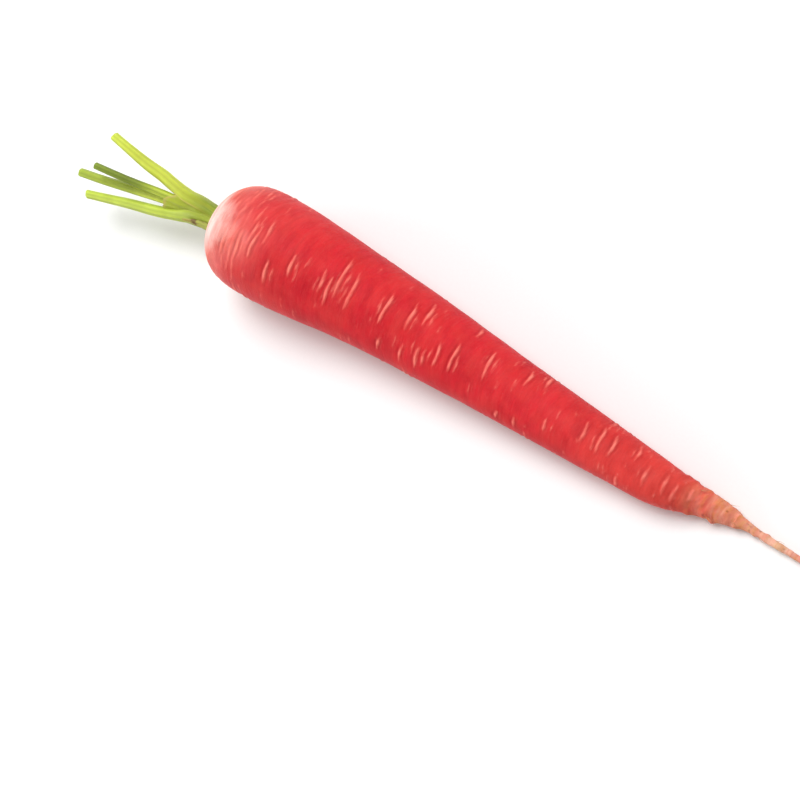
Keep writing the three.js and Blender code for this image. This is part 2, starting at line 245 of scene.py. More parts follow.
class Route:
    """The middle line of a leaf stalk: a smooth curve through points, read by distance along it."""

    SAMPLES_PER_SPAN = 24
    LOOK_AHEAD = 0.4

    def __init__(self, points: Array, foot: int) -> None:
        """Lay the curve through the points and measure it.

        Args:
            points: The points that it passes, in order.
            foot: The index of the point where its distance is zero.
        """
        ends = [2 * points[0] - points[1], 2 * points[-1] - points[-2]]
        padded = np.vstack([ends[0], points, ends[1]])
        spans = [self._span(*padded[i : i + 4]) for i in range(len(points) - 1)]
        self.line = np.vstack([*spans, points[-1:]])
        steps = np.linalg.norm(np.diff(self.line, axis=0), axis=1)
        self.distance = np.concatenate([[0.0], np.cumsum(steps)])
        self.distance -= self.distance[foot * self.SAMPLES_PER_SPAN]

    @classmethod
    def _span(cls, before: Array, start: Array, end: Array, after: Array) -> Array:
        """Return samples of one span of a centripetal curve through four points, without its end.

        Args:
            before: The point before the span.
            start: The span's start.
            end: Its end.
            after: The point after it.

        Returns:
            The samples, one to a row.
        """
        steps = (start - before, end - start, after - end)
        gaps = [math.sqrt(np.linalg.norm(step)) for step in steps]
        speeds = [step / gap for step, gap in zip(steps, gaps)]
        leave = speeds[0] - (end - before) / (gaps[0] + gaps[1]) + speeds[1]
        arrive = speeds[1] - (after - start) / (gaps[1] + gaps[2]) + speeds[2]
        share = (np.arange(cls.SAMPLES_PER_SPAN) / cls.SAMPLES_PER_SPAN)[:, None]
        return cubic(start, end, leave * gaps[1], arrive * gaps[1], share)

    @property
    def length(self) -> float:
        """Return the distance of the route's end."""
        return float(self.distance[-1])

    def at(self, distance: Array) -> Array:
        """Return the points at these distances."""
        return np.stack([np.interp(distance, self.distance, self.line[:, i]) for i in range(3)], axis=-1)

    def crossing(self, x: Array) -> Array:
        """Return (y, z) where the route passes these places along X, which fall outwards."""
        inwards = self.line[::-1]
        return np.stack([np.interp(x, inwards[:, 0], inwards[:, i]) for i in (1, 2)], axis=-1)

    def frames(self, distance: Array) -> ThreeArrays:
        """Return each point with the level sideways and the upward direction across the route there.

        Args:
            distance: The points' distances.

        Returns:
            The points and the two directions, one to a row.
        """
        ahead = np.minimum(distance + self.LOOK_AHEAD, self.length)
        level, up = directions_across(self.at(ahead) - self.at(distance - self.LOOK_AHEAD))
        return self.at(distance), -level, up


# ---- mesh tools


def begin_alone() -> None:
    """Leave edit mode and deselect everything, so that an operator acts on what is added next."""
    if bpy.context.mode != "OBJECT":
        bpy.ops.object.mode_set(mode="OBJECT")
    bpy.ops.object.select_all(action="DESELECT")


def take(piece: Piece) -> None:
    """Make a piece the only selected one, and the active one.

    Args:
        piece: The piece.
    """
    begin_alone()
    piece.select_set(True)
    bpy.context.view_layer.objects.active = piece


def select_in(piece: Piece, kind: str, chosen: Array) -> None:
    """Select some vertices, edges or polygons of a piece, and nothing else of it.

    Args:
        piece: A mesh object in object mode.
        kind: "vertices", "edges" or "polygons".
        chosen: True for each element that is to be selected.
    """
    kinds = ("vertices", "edges", "polygons")
    for name in kinds:
        elements = getattr(piece.data, name)
        wanted = chosen if name == kind else np.zeros(len(elements), bool)
        elements.foreach_set("select", wanted)
    bpy.context.tool_settings.mesh_select_mode = tuple(name == kind for name in kinds)


def places_of(piece: Piece) -> Array:
    """Return the places of a piece's vertices.

    Args:
        piece: The piece.

    Returns:
        The places in millimetres, one to a row.
    """
    flat = np.empty(len(piece.data.vertices) * 3, np.float32)
    piece.data.vertices.foreach_get("co", flat)
    return flat.reshape(-1, 3).astype(float) / MM


def move_to(piece: Piece, places: Array) -> None:
    """Put a piece's vertices at these places, given in millimetres."""
    piece.data.vertices.foreach_set("co", (places * MM).astype(np.float32).ravel())
    piece.data.update()


def paint(piece: Piece, **layers: Array) -> None:
    """Store a number, or a vector of three, for each vertex under each layer's name.

    Args:
        piece: The piece.
        layers: The values for its vertices, by the name of their attribute.
    """
    for name, values in layers.items():
        kind, key = ("FLOAT_VECTOR", "vector") if values.ndim == 2 else ("FLOAT", "value")
        layer = piece.data.attributes.new(name, kind, "POINT")
        layer.data.foreach_set(key, values.astype(np.float32).ravel())


def face_outwards(piece: Piece) -> None:
    """Turn all faces of a closed piece outwards.

    Args:
        piece: The piece.
    """
    take(piece)
    select_in(piece, "polygons", np.ones(len(piece.data.polygons), bool))
    bpy.ops.object.mode_set(mode="EDIT")
    bpy.ops.mesh.normals_make_consistent(inside=False)
    bpy.ops.object.mode_set(mode="OBJECT")


def add_sheet(name: str, along: int, across: int) -> tuple[Piece, Array, Array]:
    """Add a flat grid.

    Args:
        name: The piece's name.
        along: How many parts it has along its length.
        across: How many parts it has across.

    Returns:
        The grid, and each vertex's place along and across it, both from -1 to 1.
    """
    begin_alone()
    bpy.ops.mesh.primitive_grid_add(x_subdivisions=along, y_subdivisions=across, size=2.0 * MM)
    piece = bpy.context.active_object
    piece.name = name
    places = places_of(piece)
    return piece, places[:, 0], places[:, 1]


def thicken(piece: Piece, thickness: float) -> None:
    """Give a sheet its thickness, half of it on each side, and turn its faces outwards.

    Args:
        piece: The sheet.
        thickness: Its thickness.
    """
    take(piece)
    wall = piece.modifiers.new("thickness", "SOLIDIFY")
    wall.thickness = thickness * MM
    wall.offset = 0.0
    bpy.ops.object.modifier_apply(modifier=wall.name)
    face_outwards(piece)


@dataclass
class Blank:
    """A cylinder turned along X and cut into even rings, ready to be carved.

    Attributes:
        piece: The mesh object.
        ring: For each vertex, the ring it is on, counted from the start, or -1 for the middle of an end.
        side: For each vertex, its side, counted from the top towards +Y.
        rings: How many rings there are.
        sides: How many sides a ring has.
    """

    piece: Piece
    ring: Array
    side: Array
    rings: int
    sides: int

    @classmethod
    def turn(
        cls, name: str, radius: float, length: float, sides: int, cuts: tuple[int, ...], ends: Ends
    ) -> "Blank":
        """Add the cylinder, with its start at x = 0, and cut it into rings.

        Args:
            name: The piece's name.
            radius: The cylinder's radius.
            length: Its length.
            sides: How many sides it has.
            cuts: The cuts made in each part on each pass. Every pass cuts all that the last one left.
            ends: How its ends are closed.

        Returns:
            The blank, with its object at the origin.
        """
        begin_alone()
        bpy.ops.mesh.primitive_cylinder_add(
            vertices=sides,
            radius=radius * MM,
            depth=length * MM,
            end_fill_type=ends.value,
            location=(length / 2 * MM, 0.0, 0.0),
            rotation=(0.0, math.pi / 2, 0.0),
        )
        piece = bpy.context.active_object
        piece.name = name
        bpy.ops.object.transform_apply(location=True, rotation=True, scale=True)
        for count in cuts:
            select_in(piece, "edges", cls._lengthwise(piece))
            bpy.ops.object.mode_set(mode="EDIT")
            bpy.ops.mesh.subdivide(number_cuts=count)
            bpy.ops.object.mode_set(mode="OBJECT")
        parts = math.prod(count + 1 for count in cuts)
        places = places_of(piece)
        ring = np.rint(places[:, 0] / length * parts).astype(int)
        angle = np.arctan2(places[:, 1], places[:, 2])
        side = np.rint(angle / FULL_TURN * sides).astype(int) % sides
        middle = np.hypot(places[:, 1], places[:, 2]) < radius / 2
        return cls(piece, np.where(middle, -1, ring), side, parts + 1, sides)

    @staticmethod
    def _lengthwise(piece: Piece) -> Array:
        """Return True for each edge that runs along X.

        Args:
            piece: The cylinder.

        Returns:
            One value for each edge.
        """
        ends = np.empty(len(piece.data.edges) * 2, np.int32)
        piece.data.edges.foreach_get("vertices", ends)
        places = places_of(piece)[ends.reshape(-1, 2)]
        return np.abs(places[:, 0, 0] - places[:, 1, 0]) > NEAR

    def spread(self, grid: Array, middles: tuple = ()) -> Array:
        """Return the values of a ring-by-side grid in the order of the vertices.

        Args:
            grid: Values for each ring and side, with any further axes after them.
            middles: The values at the middle of both ends, start first, where those are closed with a fan.

        Returns:
            One value, or one row, for each vertex.
        """
        values = grid[np.maximum(self.ring, 0), self.side]
        fans = np.flatnonzero(self.ring < 0)
        if len(fans):
            starts_first = np.argsort(places_of(self.piece)[fans, 0])
            for fan, middle in zip(fans[starts_first], middles):
                values[fan] = middle
        return values


# ---- shader wiring


def srgb(red: int, green: int, blue: int) -> Colour:
    """Return a display colour as the linear colour that a shader takes.

    Args:
        red: The red channel, from 0 to 255.
        green: The green channel.
        blue: The blue channel.

    Returns:
        The colour, opaque.
    """
    shares = [channel / 255 for channel in (red, green, blue)]
    linear = [share / 12.92 if share <= 0.04045 else ((share + 0.055) / 1.055) ** 2.4 for share in shares]
    return (*linear, 1.0)


class Wiring:
    """A node tree being wired. A node's input takes a number, a colour or another node's output."""

    def __init__(self, tree: bpy.types.NodeTree) -> None:
        """Start with the tree's nodes removed."""
        self.tree = tree
        tree.nodes.clear()

    def add(self, kind: str, inputs: dict, **settings: object) -> bpy.types.Node:
        """Add a node.

        Args:
            kind: The node's type in Blender, without its leading ShaderNode.
            inputs: What each input takes, by the input's name or number.
            settings: The node's own properties.

        Returns:
            The node.
        """
        node = self.tree.nodes.new(kind if kind.startswith("NodeGroup") else f"ShaderNode{kind}")
        node.location = (len(self.tree.nodes) * 180.0, 0.0)
        for name, value in settings.items():
            setattr(node, name, value)
        for key, value in inputs.items():
            if isinstance(value, Socket):
                self.tree.links.new(value, node.inputs[key])
            else:
                node.inputs[key].default_value = value
        return node

    def calculate(self, operation: str, *values: Source) -> Socket:
        """Return the result of a Math node."""
        return self.add("Math", dict(enumerate(values)), operation=operation).outputs[0]

    def scaled(self, value: Socket, factor: Source, start: Source = 0.0) -> Socket:
        """Return a value times a factor, counted from start."""
        return self.calculate("MULTIPLY_ADD", value, factor, start)

    def rise(self, value: Socket, start: Source, end: Source) -> Socket:
        """Return a smooth rise from 0 to 1 as a value goes from start to end, which may be the lower."""
        inputs = {"Value": value, "From Min": start, "From Max": end, "To Min": 0.0, "To Max": 1.0}
        return self.add("MapRange", inputs, interpolation_type="SMOOTHSTEP", clamp=True).outputs["Result"]

    def blend(self, share: Source, first: Source, second: Source) -> Socket:
        """Return a colour that lies a share of the way from the first to the second."""
        inputs = {0: share, 6: first, 7: second}
        return self.add("Mix", inputs, data_type="RGBA", clamp_factor=True).outputs[2]

    def ramp(self, value: Socket, stops: tuple[tuple[float, Colour], ...]) -> Socket:
        """Return the colour that a value has on a ramp of (position, colour) stops.

        Args:
            value: The value.
            stops: The stops, lowest first.

        Returns:
            The colour.
        """
        node = self.add("ValToRGB", {"Fac": value})
        elements = node.color_ramp.elements
        while len(elements) < len(stops):
            elements.new(1.0)
        for element, (position, colour) in zip(elements, stops):
            element.position = position
            element.color = colour
        return node.outputs["Color"]

    def stretched(self, vector: Socket, scale: Triple) -> Socket:
        """Return coordinates scaled along each axis."""
        return self.add("Mapping", {"Vector": vector, "Scale": scale}).outputs["Vector"]

    def object_places(self) -> Socket:
        """Return the piece's own coordinates, in metres."""
        return self.add("TexCoord", {}).outputs["Object"]

    def attribute(self, name: str, output: str = "Fac") -> Socket:
        """Return an attribute of the mesh."""
        return self.add("Attribute", {}, attribute_name=name).outputs[output]


class EffectWiring(Wiring):
    """The wiring of a shared effect: a node group that gives a mask from 0 to 1.

    Attributes:
        given: The group's inputs, by name.
    """

    def __init__(self, name: str, *settings: str) -> None:
        """Make the group, with Vector, Scale and further settings as its inputs and Mask as its output.

        Args:
            name: The group's name.
            settings: The names of its inputs besides Vector and Scale.
        """
        super().__init__(bpy.data.node_groups.new(name, "ShaderNodeTree"))
        kinds = {"Vector": "NodeSocketVector"} | dict.fromkeys(("Scale", *settings), "NodeSocketFloat")
        for label, kind in kinds.items():
            self.tree.interface.new_socket(label, in_out="INPUT", socket_type=kind)
        self.tree.interface.new_socket("Mask", in_out="OUTPUT", socket_type="NodeSocketFloat")
        self.given = self.add("NodeGroupInput", {}).outputs

    def texture(self, kind: str, scale: Socket, **inputs: float) -> bpy.types.Node:
        """Add a texture on the group's coordinates."""
        return self.add(f"Tex{kind}", {"Vector": self.given["Vector"], "Scale": scale} | inputs)

    def put_out(self, mask: Socket) -> bpy.types.NodeTree:
        """Join the mask to the group's output and return the group."""
        self.add("NodeGroupOutput", {"Mask": mask})
        return self.tree


class Effects:
    """The node groups that more than one material uses."""

    def __init__(self) -> None:
        """Build each group once."""
        self.blotches = self._blotches()
        self.fibres = self._fibres()
        self.specks = self._specks()

    @staticmethod
    def _blotches() -> bpy.types.NodeTree:
        """Return soft patches with uneven borders.

        Returns:
            The node group.
        """
        wiring = EffectWiring("blotches", "Softness")
        cloud = wiring.texture("Noise", wiring.given["Scale"], Detail=4.0, Roughness=0.55, Distortion=0.3)
        low = wiring.calculate("SUBTRACT", 0.5, wiring.given["Softness"])
        high = wiring.calculate("ADD", 0.5, wiring.given["Softness"])
        return wiring.put_out(wiring.rise(cloud.outputs["Fac"], low, high))

    @staticmethod
    def _fibres() -> bpy.types.NodeTree:
        """Return streaks of two sizes, on coordinates that are stretched along them.

        Returns:
            The node group.
        """
        wiring = EffectWiring("fibres", "Fine Share")
        scale = wiring.given["Scale"]
        coarse = wiring.texture("Noise", scale, Detail=2.0).outputs["Fac"]
        fine = wiring.texture("Noise", wiring.scaled(scale, 3.3), Detail=3.0, Roughness=0.6).outputs["Fac"]
        mixed = wiring.add("Mix", {0: wiring.given["Fine Share"], 2: coarse, 3: fine}).outputs[0]
        return wiring.put_out(wiring.rise(mixed, 0.32, 0.68))

    @staticmethod
    def _specks() -> bpy.types.NodeTree:
        """Return small uneven dots, of which Share is the part that shows.

        Returns:
            The node group.
        """
        wiring = EffectWiring("specks", "Size", "Share")
        ragged = wiring.texture("Noise", wiring.given["Scale"], Detail=2.0)
        cells = wiring.texture("Voronoi", wiring.given["Scale"])
        wobble = wiring.scaled(ragged.outputs["Fac"], 0.5, -0.25)
        distance = wiring.calculate("ADD", cells.outputs["Distance"], wobble)
        dot = wiring.rise(distance, wiring.given["Size"], 0.0)
        lot = wiring.add("SeparateColor", {0: cells.outputs["Color"]}).outputs[0]
        shown = wiring.calculate("LESS_THAN", lot, wiring.given["Share"])
        return wiring.put_out(wiring.calculate("MULTIPLY", dot, shown))


@dataclass(frozen=True)
class Flesh:
    """How moist tissue takes light.

    Attributes:
        specular: The strength of its highlights.
        spread: How far red, green and blue light spreads inside it, as shares of the depth.
        depth: In metres.
        weight: The share of the light that goes inside.
    """

    specular: float
    spread: Triple
    depth: float
    weight: float = 0.1

    def inputs(self) -> dict:
        """Return what it sets on a Principled shader.

        Returns:
            The values by the names of their inputs.
        """
        return {
            "Specular IOR Level": self.specular,
            "Subsurface Weight": self.weight,
            "Subsurface Radius": self.spread,
            "Subsurface Scale": self.depth,
        }


class Coat(Wiring):
    """The wiring of a material, whose colours cover one another.

    Attributes:
        colour: The colour so far.
    """

    def __init__(self, name: str, effects: Effects) -> None:
        """Make the material, with an empty tree.

        Args:
            name: The material's name.
            effects: The shared effects.
        """
        self.material = bpy.data.materials.new(name)
        self.material.use_nodes = True
        super().__init__(self.material.node_tree)
        self.effects = effects
        self.colour: Source = 0.0

    def _effect(self, group: bpy.types.NodeTree, inputs: dict) -> Socket:
        """Place a shared effect and return its mask."""
        return self.add("Group", inputs, node_tree=group).outputs["Mask"]

    def blotches(self, vector: Socket, scale: float, softness: float) -> Socket:
        """Return the mask of soft patches on these coordinates."""
        return self._effect(self.effects.blotches, {"Vector": vector, "Scale": scale, "Softness": softness})

    def fibres(self, vector: Socket, scale: float, fine_share: float) -> Socket:
        """Return the mask of streaks on these coordinates."""
        return self._effect(self.effects.fibres, {"Vector": vector, "Scale": scale, "Fine Share": fine_share})

    def specks(self, vector: Socket, scale: float, size: float, share: float) -> Socket:
        """Return the mask of dots on these coordinates."""
        inputs = {"Vector": vector, "Scale": scale, "Size": size, "Share": share}
        return self._effect(self.effects.specks, inputs)

    def cover(self, colour: Source, mask: Socket, share: Source = 1.0) -> None:
        """Put a colour over the ones so far, where the mask is 1 by its whole share."""
        self.colour = self.blend(self.calculate("MULTIPLY", mask, share), self.colour, colour)

    def close(self, height: Socket, depth: float, roughness: Source, flesh: Flesh | None = None) -> None:
        """Close the material with a Principled shader.

        Args:
            height: The height of the fine relief, from 0 to 1.
            depth: What a height of 1 stands for, in millimetres.
            roughness: The shader's roughness.
            flesh: How it takes light, if it is moist.
        """
        relief = self.add("Bump", {"Height": height, "Distance": depth * MM, "Strength": 1.0})
        inputs = {"Base Color": self.colour, "Roughness": roughness, "Normal": relief.outputs["Normal"]}
        shader = self.add("BsdfPrincipled", inputs | (flesh.inputs() if flesh else {}))
        self.add("OutputMaterial", {"Surface": shader.outputs[0]})


# ---- finishes


class Finish:
    """How a piece is coloured. Each finish lays its own colours."""

    name: str

    def lay(self, coat: Coat) -> None:
        """Lay the colours and close the material."""
        raise NotImplementedError

    def dress(self, piece: Piece, effects: Effects) -> None:
        """Give a piece this finish.

        Args:
            piece: The piece.
            effects: The shared effects.
        """
        coat = Coat(self.name, effects)
        self.lay(coat)
        piece.data.materials.append(coat.material)


@dataclass(frozen=True)
class SkinFinish(Finish):
    """The root's skin: red, paler at the crown with a painted highlight round the neck, rough and ochre
    towards the tail.

    Attributes:
        full_reach: The distance over the skin, from the crown's middle, that shares below count from.
        along: The skin's colour at each share of that distance. The pale pink stops by the crown are partly
            the shoulder's own paler skin and partly a painted highlight.
        rough_zone: The shares between which the skin turns rough.
        shoulder_zone: The shares between which it gains streaks, towards the crown.
        scar: The pale colour of a scar's lip.
        dark_red_and_groove_shade: A dark red, laid over the ruddy patches and painted as shade in the grooves
            beside a scar's lip.
    """

    name: str = "carrot_skin"
    full_reach: float = 280.0
    # The pale pink stops from 0.046 to 0.111 are partly a painted highlight on the crown's shoulder.
    along: tuple[tuple[float, Colour], ...] = (
        (0.0, srgb(178, 176, 84)), (0.021, srgb(190, 168, 96)), (0.032, srgb(216, 158, 112)),
        (0.046, srgb(236, 148, 112)), (0.066, srgb(234, 124, 102)), (0.092, srgb(234, 124, 114)),
        (0.111, srgb(233, 115, 110)), (0.14, srgb(220, 66, 69)), (0.175, srgb(213, 45, 53)),
        (0.22, srgb(211, 36, 48)), (0.40, srgb(212, 36, 47)), (0.54, srgb(214, 40, 50)),
        (0.59, srgb(217, 50, 55)), (0.64, srgb(220, 62, 60)), (0.70, srgb(221, 66, 61)),
        (0.745, srgb(220, 74, 65)), (0.765, srgb(224, 100, 84)), (0.787, srgb(230, 130, 108)),
        (0.814, srgb(232, 156, 132)), (0.835, srgb(232, 186, 160)), (0.87, srgb(232, 202, 178)),
        (1.0, srgb(238, 208, 184)),
    )
    rough_zone: Zone = (0.735, 0.80)
    shoulder_zone: Zone = (0.22, 0.10)
    # Painted highlight: the pale colour of a glow painted round the neck.
    highlight_colour: Colour = srgb(239, 208, 200)
    deep: Colour = srgb(168, 4, 26)
    warm: Colour = srgb(224, 60, 54)
    scar: Colour = srgb(246, 128, 114)
    # Dark red for the ruddy patches, also painted as shade in the scars' grooves.
    dark_red_and_groove_shade: Colour = srgb(124, 14, 20)
    mealy: Colour = srgb(244, 176, 148)
    brick: Colour = srgb(196, 74, 60)
    ochre: Colour = srgb(218, 158, 74)
    soil: Colour = srgb(112, 66, 38)
    flesh: Flesh = Flesh(specular=0.065, spread=(1.0, 0.3, 0.2), depth=0.002)

    def lay(self, coat: Coat) -> None:
        """Lay red over the ramp of the root's colours, with a painted highlight round the neck, then the
        rough end's crusts, the scars with painted shade in their grooves, and soil.

        Args:
            coat: The material's wiring.
        """
        places = coat.object_places()
        reach = coat.calculate("DIVIDE", coat.attribute("reach"), self.full_reach)
        rough = coat.rise(reach, *self.rough_zone)
        ringwise = coat.stretched(places, (1.0, 0.14, 0.14))
        banded = coat.stretched(places, (1.0, 0.35, 0.35))
        shortened = coat.stretched(places, (1.0, 0.4, 0.4))
        streaks = coat.fibres(ringwise, scale=420.0, fine_share=0.45)
        hatching = coat.fibres(ringwise, scale=1300.0, fine_share=0.5)
        ruddy = coat.blotches(shortened, scale=360.0, softness=0.16)

        coat.colour = coat.ramp(reach, self.along)
        coat.cover(self.deep, coat.blotches(places, scale=60.0, softness=0.14), share=0.35)
        coat.cover(self.dark_red_and_groove_shade, ruddy, share=0.18)
        coat.cover(self.warm, coat.blotches(places, scale=130.0, softness=0.14), share=0.30)
        by_shoulder = coat.scaled(coat.rise(reach, *self.shoulder_zone), 0.10, start=0.05)
        coat.cover(self.scar, streaks, share=by_shoulder)
        coat.cover(self.deep, hatching, share=by_shoulder)
        # Painted highlight: a pale glow laid on the skin round the neck, mottled by the ruddy patches.
        mottled_highlight = coat.scaled(ruddy, -0.22, start=coat.attribute("painted_highlight"))
        coat.cover(self.highlight_colour, mottled_highlight, share=coat.scaled(streaks, 0.5, start=0.72))

        meal = coat.calculate("MULTIPLY", coat.blotches(banded, scale=430.0, softness=0.16), rough)
        coat.cover(self.mealy, meal, share=0.5)
        brick = coat.blotches(ringwise, scale=900.0, softness=0.12)
        coat.cover(self.brick, brick, share=coat.scaled(rough, 0.35))
        beside_meal = coat.calculate("MULTIPLY", rough, coat.calculate("SUBTRACT", 1.0, meal))
        ochre = coat.blotches(banded, scale=300.0, softness=0.08)
        coat.cover(self.ochre, ochre, share=coat.scaled(beside_meal, 0.42))

        ragged = coat.scaled(hatching, 0.35, start=-0.17)
        scars = coat.rise(coat.calculate("ADD", coat.attribute("scar"), ragged), 0.02, 1.0)
        coat.cover(self.scar, scars)
        # Painted shade: the scars' grooves are darkened.
        coat.cover(self.dark_red_and_groove_shade, coat.attribute("dark_red_and_groove_shade"), share=0.45)
        soil = coat.specks(places, scale=620.0, size=0.45, share=0.3)
        coat.cover(self.soil, soil, share=coat.scaled(rough, 0.5, start=0.03))

        dull = coat.scaled(rough, 0.2, start=0.43)
        dull = coat.scaled(streaks, 0.08, start=dull)
        dull = coat.scaled(scars, 0.15, start=dull)
        grain = coat.blotches(places, scale=2600.0, softness=0.3)
        height = coat.scaled(grain, 0.25, start=coat.scaled(hatching, 0.75))
        coat.close(height, depth=0.08, roughness=dull, flesh=self.flesh)


@dataclass(frozen=True)
class StalkFinish(Finish):
    """The green of a leaf stalk, with ribs, pale margins and a cut end.

    Attributes:
        name: The material's name.
        foot: The colour by the crown. On the slim stalks it is partly their paler base and partly painted
            light, lifting the sheath's shade by the mouth.
        shaft: The colour from the sheath's mouth outwards.
        furrow: The colour between the ribs.
        margin: The colour of the thin edge of a sheath.
        tip: The colour just before the cut end.
        foot_zone: Where the foot's colour turns into the shaft's.
        tip_length: How far the tip's colour fades back from the cut end.
        base_zone: Where the base's colour sets in, towards the crown.
        pith: The colour of the cut face.
        base: The colour where it meets the crown.
    """

    name: str
    foot: Colour
    shaft: Colour
    furrow: Colour
    margin: Colour
    tip: Colour
    foot_zone: Zone = (6.0, 22.0)
    tip_length: float = 9.0
    base_zone: Zone = (4.4, 0.4)
    pith: Colour = srgb(206, 214, 140)
    base: Colour = srgb(222, 205, 120)
    flesh: Flesh = Flesh(specular=0.22, spread=(0.6, 1.0, 0.2), depth=0.001)

    def lay(self, coat: Coat) -> None:
        """Lay furrows, strands, margins and the base over the shaft's green, then the cut face.

        Args:
            coat: The material's wiring.
        """
        lay = coat.attribute("lay", "Vector")
        reach = coat.attribute("reach")
        strands = coat.fibres(coat.stretched(lay, (0.05, 1.0, 1.0)), scale=1500.0, fine_share=0.5)

        coat.colour = coat.blend(coat.rise(reach, *self.foot_zone), self.foot, self.shaft)
        coat.cover(self.tip, coat.rise(coat.attribute("end"), self.tip_length, 0.0))
        furrows = coat.calculate("SUBTRACT", 1.0, coat.attribute("rib"))
        coat.cover(self.furrow, furrows, share=coat.scaled(strands, 0.3, start=0.35))
        coat.cover(self.tip, strands, share=0.18)
        coat.cover(self.furrow, coat.blotches(lay, scale=140.0, softness=0.16), share=0.25)
        coat.cover(self.margin, coat.attribute("margin"), share=0.6)
        coat.cover(self.base, coat.rise(reach, *self.base_zone), share=0.7)
        vessels = coat.specks(lay, scale=1900.0, size=0.5, share=0.6)
        cut_face = coat.blend(coat.scaled(vessels, 0.5), self.pith, self.shaft)
        coat.cover(cut_face, coat.attribute("cut"))

        grain = coat.blotches(lay, scale=3000.0, softness=0.3)
        height = coat.scaled(grain, 0.3, start=coat.scaled(strands, 0.7))
        dull = coat.scaled(strands, 0.12, start=0.38)
        coat.close(height, depth=0.05, roughness=dull, flesh=self.flesh)


@dataclass(frozen=True)
class DriedFinish(Finish):
    """A dying leaf base: olive by the crown, with brown strands, edges and tip.

    Attributes:
        straw_zone: Where olive turns into straw.
    """

    name: str = "dried_leaf"
    olive: Colour = srgb(168, 176, 66)
    straw: Colour = srgb(188, 180, 92)
    brown: Colour = srgb(124, 102, 54)
    straw_zone: Zone = (6.0, 12.0)

    def lay(self, coat: Coat) -> None:
        """Lay brown strands, spots and edges over olive and straw.

        Args:
            coat: The material's wiring.
        """
        lay = coat.attribute("lay", "Vector")
        strands = coat.fibres(coat.stretched(lay, (0.06, 1.0, 1.0)), scale=1500.0, fine_share=0.5)
        patches = coat.blotches(lay, scale=300.0, softness=0.14)
        dry = coat.rise(coat.attribute("reach"), *self.straw_zone)
        coat.colour = coat.blend(dry, self.olive, self.straw)
        coat.cover(self.brown, strands, share=0.3)
        dead = coat.scaled(patches, 0.5, start=coat.attribute("dead"))
        coat.cover(self.brown, coat.rise(dead, 0.55, 1.1))
        edge = coat.scaled(patches, 0.6, start=coat.attribute("margin"))
        coat.cover(self.brown, coat.rise(edge, 0.8, 1.4), share=0.6)
        coat.close(strands, depth=0.1, roughness=coat.scaled(strands, 0.15, start=0.65))


@dataclass(frozen=True)
class HairFinish(Finish):
    """The thin side roots: tan, darker in patches."""

    name: str = "root_hair"
    tan: Colour = srgb(216, 160, 112)
    brown: Colour = srgb(150, 92, 56)

    def lay(self, coat: Coat) -> None:
        """Lay darker patches over the tan.

        Args:
            coat: The material's wiring.
        """
        patches = coat.blotches(coat.object_places(), scale=700.0, softness=0.2)
        coat.colour = coat.blend(patches, self.tan, self.brown)
        coat.close(patches, depth=0.03, roughness=coat.scaled(patches, 0.15, start=0.5))


@dataclass(frozen=True)
class PaperFinish(Finish):
    """The floor's matt paper, nearly white."""

    name: str = "floor_paper"
    darker: Colour = (0.86, 0.86, 0.86, 1.0)
    lighter: Colour = (0.89, 0.89, 0.89, 1.0)

    def lay(self, coat: Coat) -> None:
        """Lay the paper's fibres.

        Args:
            coat: The material's wiring.
        """
        texture = coat.add("TexNoise", {"Vector": coat.object_places(), "Scale": 900.0, "Detail": 3.0})
        fibre = texture.outputs["Fac"]
        coat.colour = coat.blend(fibre, self.darker, self.lighter)
        coat.close(fibre, depth=0.02, roughness=0.9)


# ---- placing


@dataclass(frozen=True)
class Ground:
    """Where the crown's end stands in the frame: the point that all distances start from."""

    origin: Array

    @classmethod
    def from_frame(cls, frame: dict, length: float) -> "Ground":
        """Find the crown's end from the taproot's solid.

        Args:
            length: The taproot's length.

        Returns:
            The ground, with its origin in millimetres in the frame.
        """
        low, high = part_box(Node.TAPROOT.value)
        places = places_of(frame["nodes"][Node.TAPROOT.value])
        crown_face = places[places[:, 0] < low.x / MM + NEAR]
        return cls(np.array([high.x / MM - length, crown_face[:, 1].mean(), 0.0]))

    def in_frame(self, places: Array) -> Array:
        """Return places given from the crown's end as places in the frame."""
        return places + self.origin


@dataclass(frozen=True)
class Site:
    """What every piece of the carrot is built on.

    Attributes:
        root: The root.
        neck: The bundle of stalks on its crown.
        ground: Where the crown's end stands.
        effects: The shared effects.
    """

    root: "Taproot"
    neck: "Neck"
    ground: Ground
    effects: Effects


def settle(piece: Piece, slot: Slot, *nodes: Node) -> None:
    """Hang a finished piece in the frame and report it.

    Args:
        piece: The piece.
        slot: The record's slot that its finish belongs to; it is not used.
        nodes: The solids that it stands for.
    """
    take(piece)
    bpy.ops.object.shade_smooth_by_angle(angle=SMOOTH_BELOW)
    if nodes:
        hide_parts(*[node.value for node in nodes])
    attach(piece, BODY)
    triangles = sum(len(polygon.vertices) - 2 for polygon in piece.data.polygons)
    LOG.info("%s: %d triangles, for %s", piece.name, triangles, [node.value for node in nodes])


# ---- taproot


class Mark(NamedTuple):
    """A stroke across the root: its distance, its angle from the top towards +Y, its length and height."""

    distance: float
    angle: float
    length: float
    height: float


@dataclass(frozen=True)
class OneSided:
    """A length over the skin that is longer, or shorter, on one side of the root.

    Attributes:
        elsewhere: The length away from that side.
        more: How much longer it is there.
        towards: Where that side's middle is, in degrees from the top towards +Y.
        width: How wide that side is, in degrees.
    """

    elsewhere: float
    more: float
    towards: float
    width: float

    def at(self, angle: Array) -> Array:
        """Return the length at each angle."""
        turn = shorter_turn(math.radians(self.towards), angle)
        return self.elsewhere + self.more * bell(turn, math.radians(self.width))


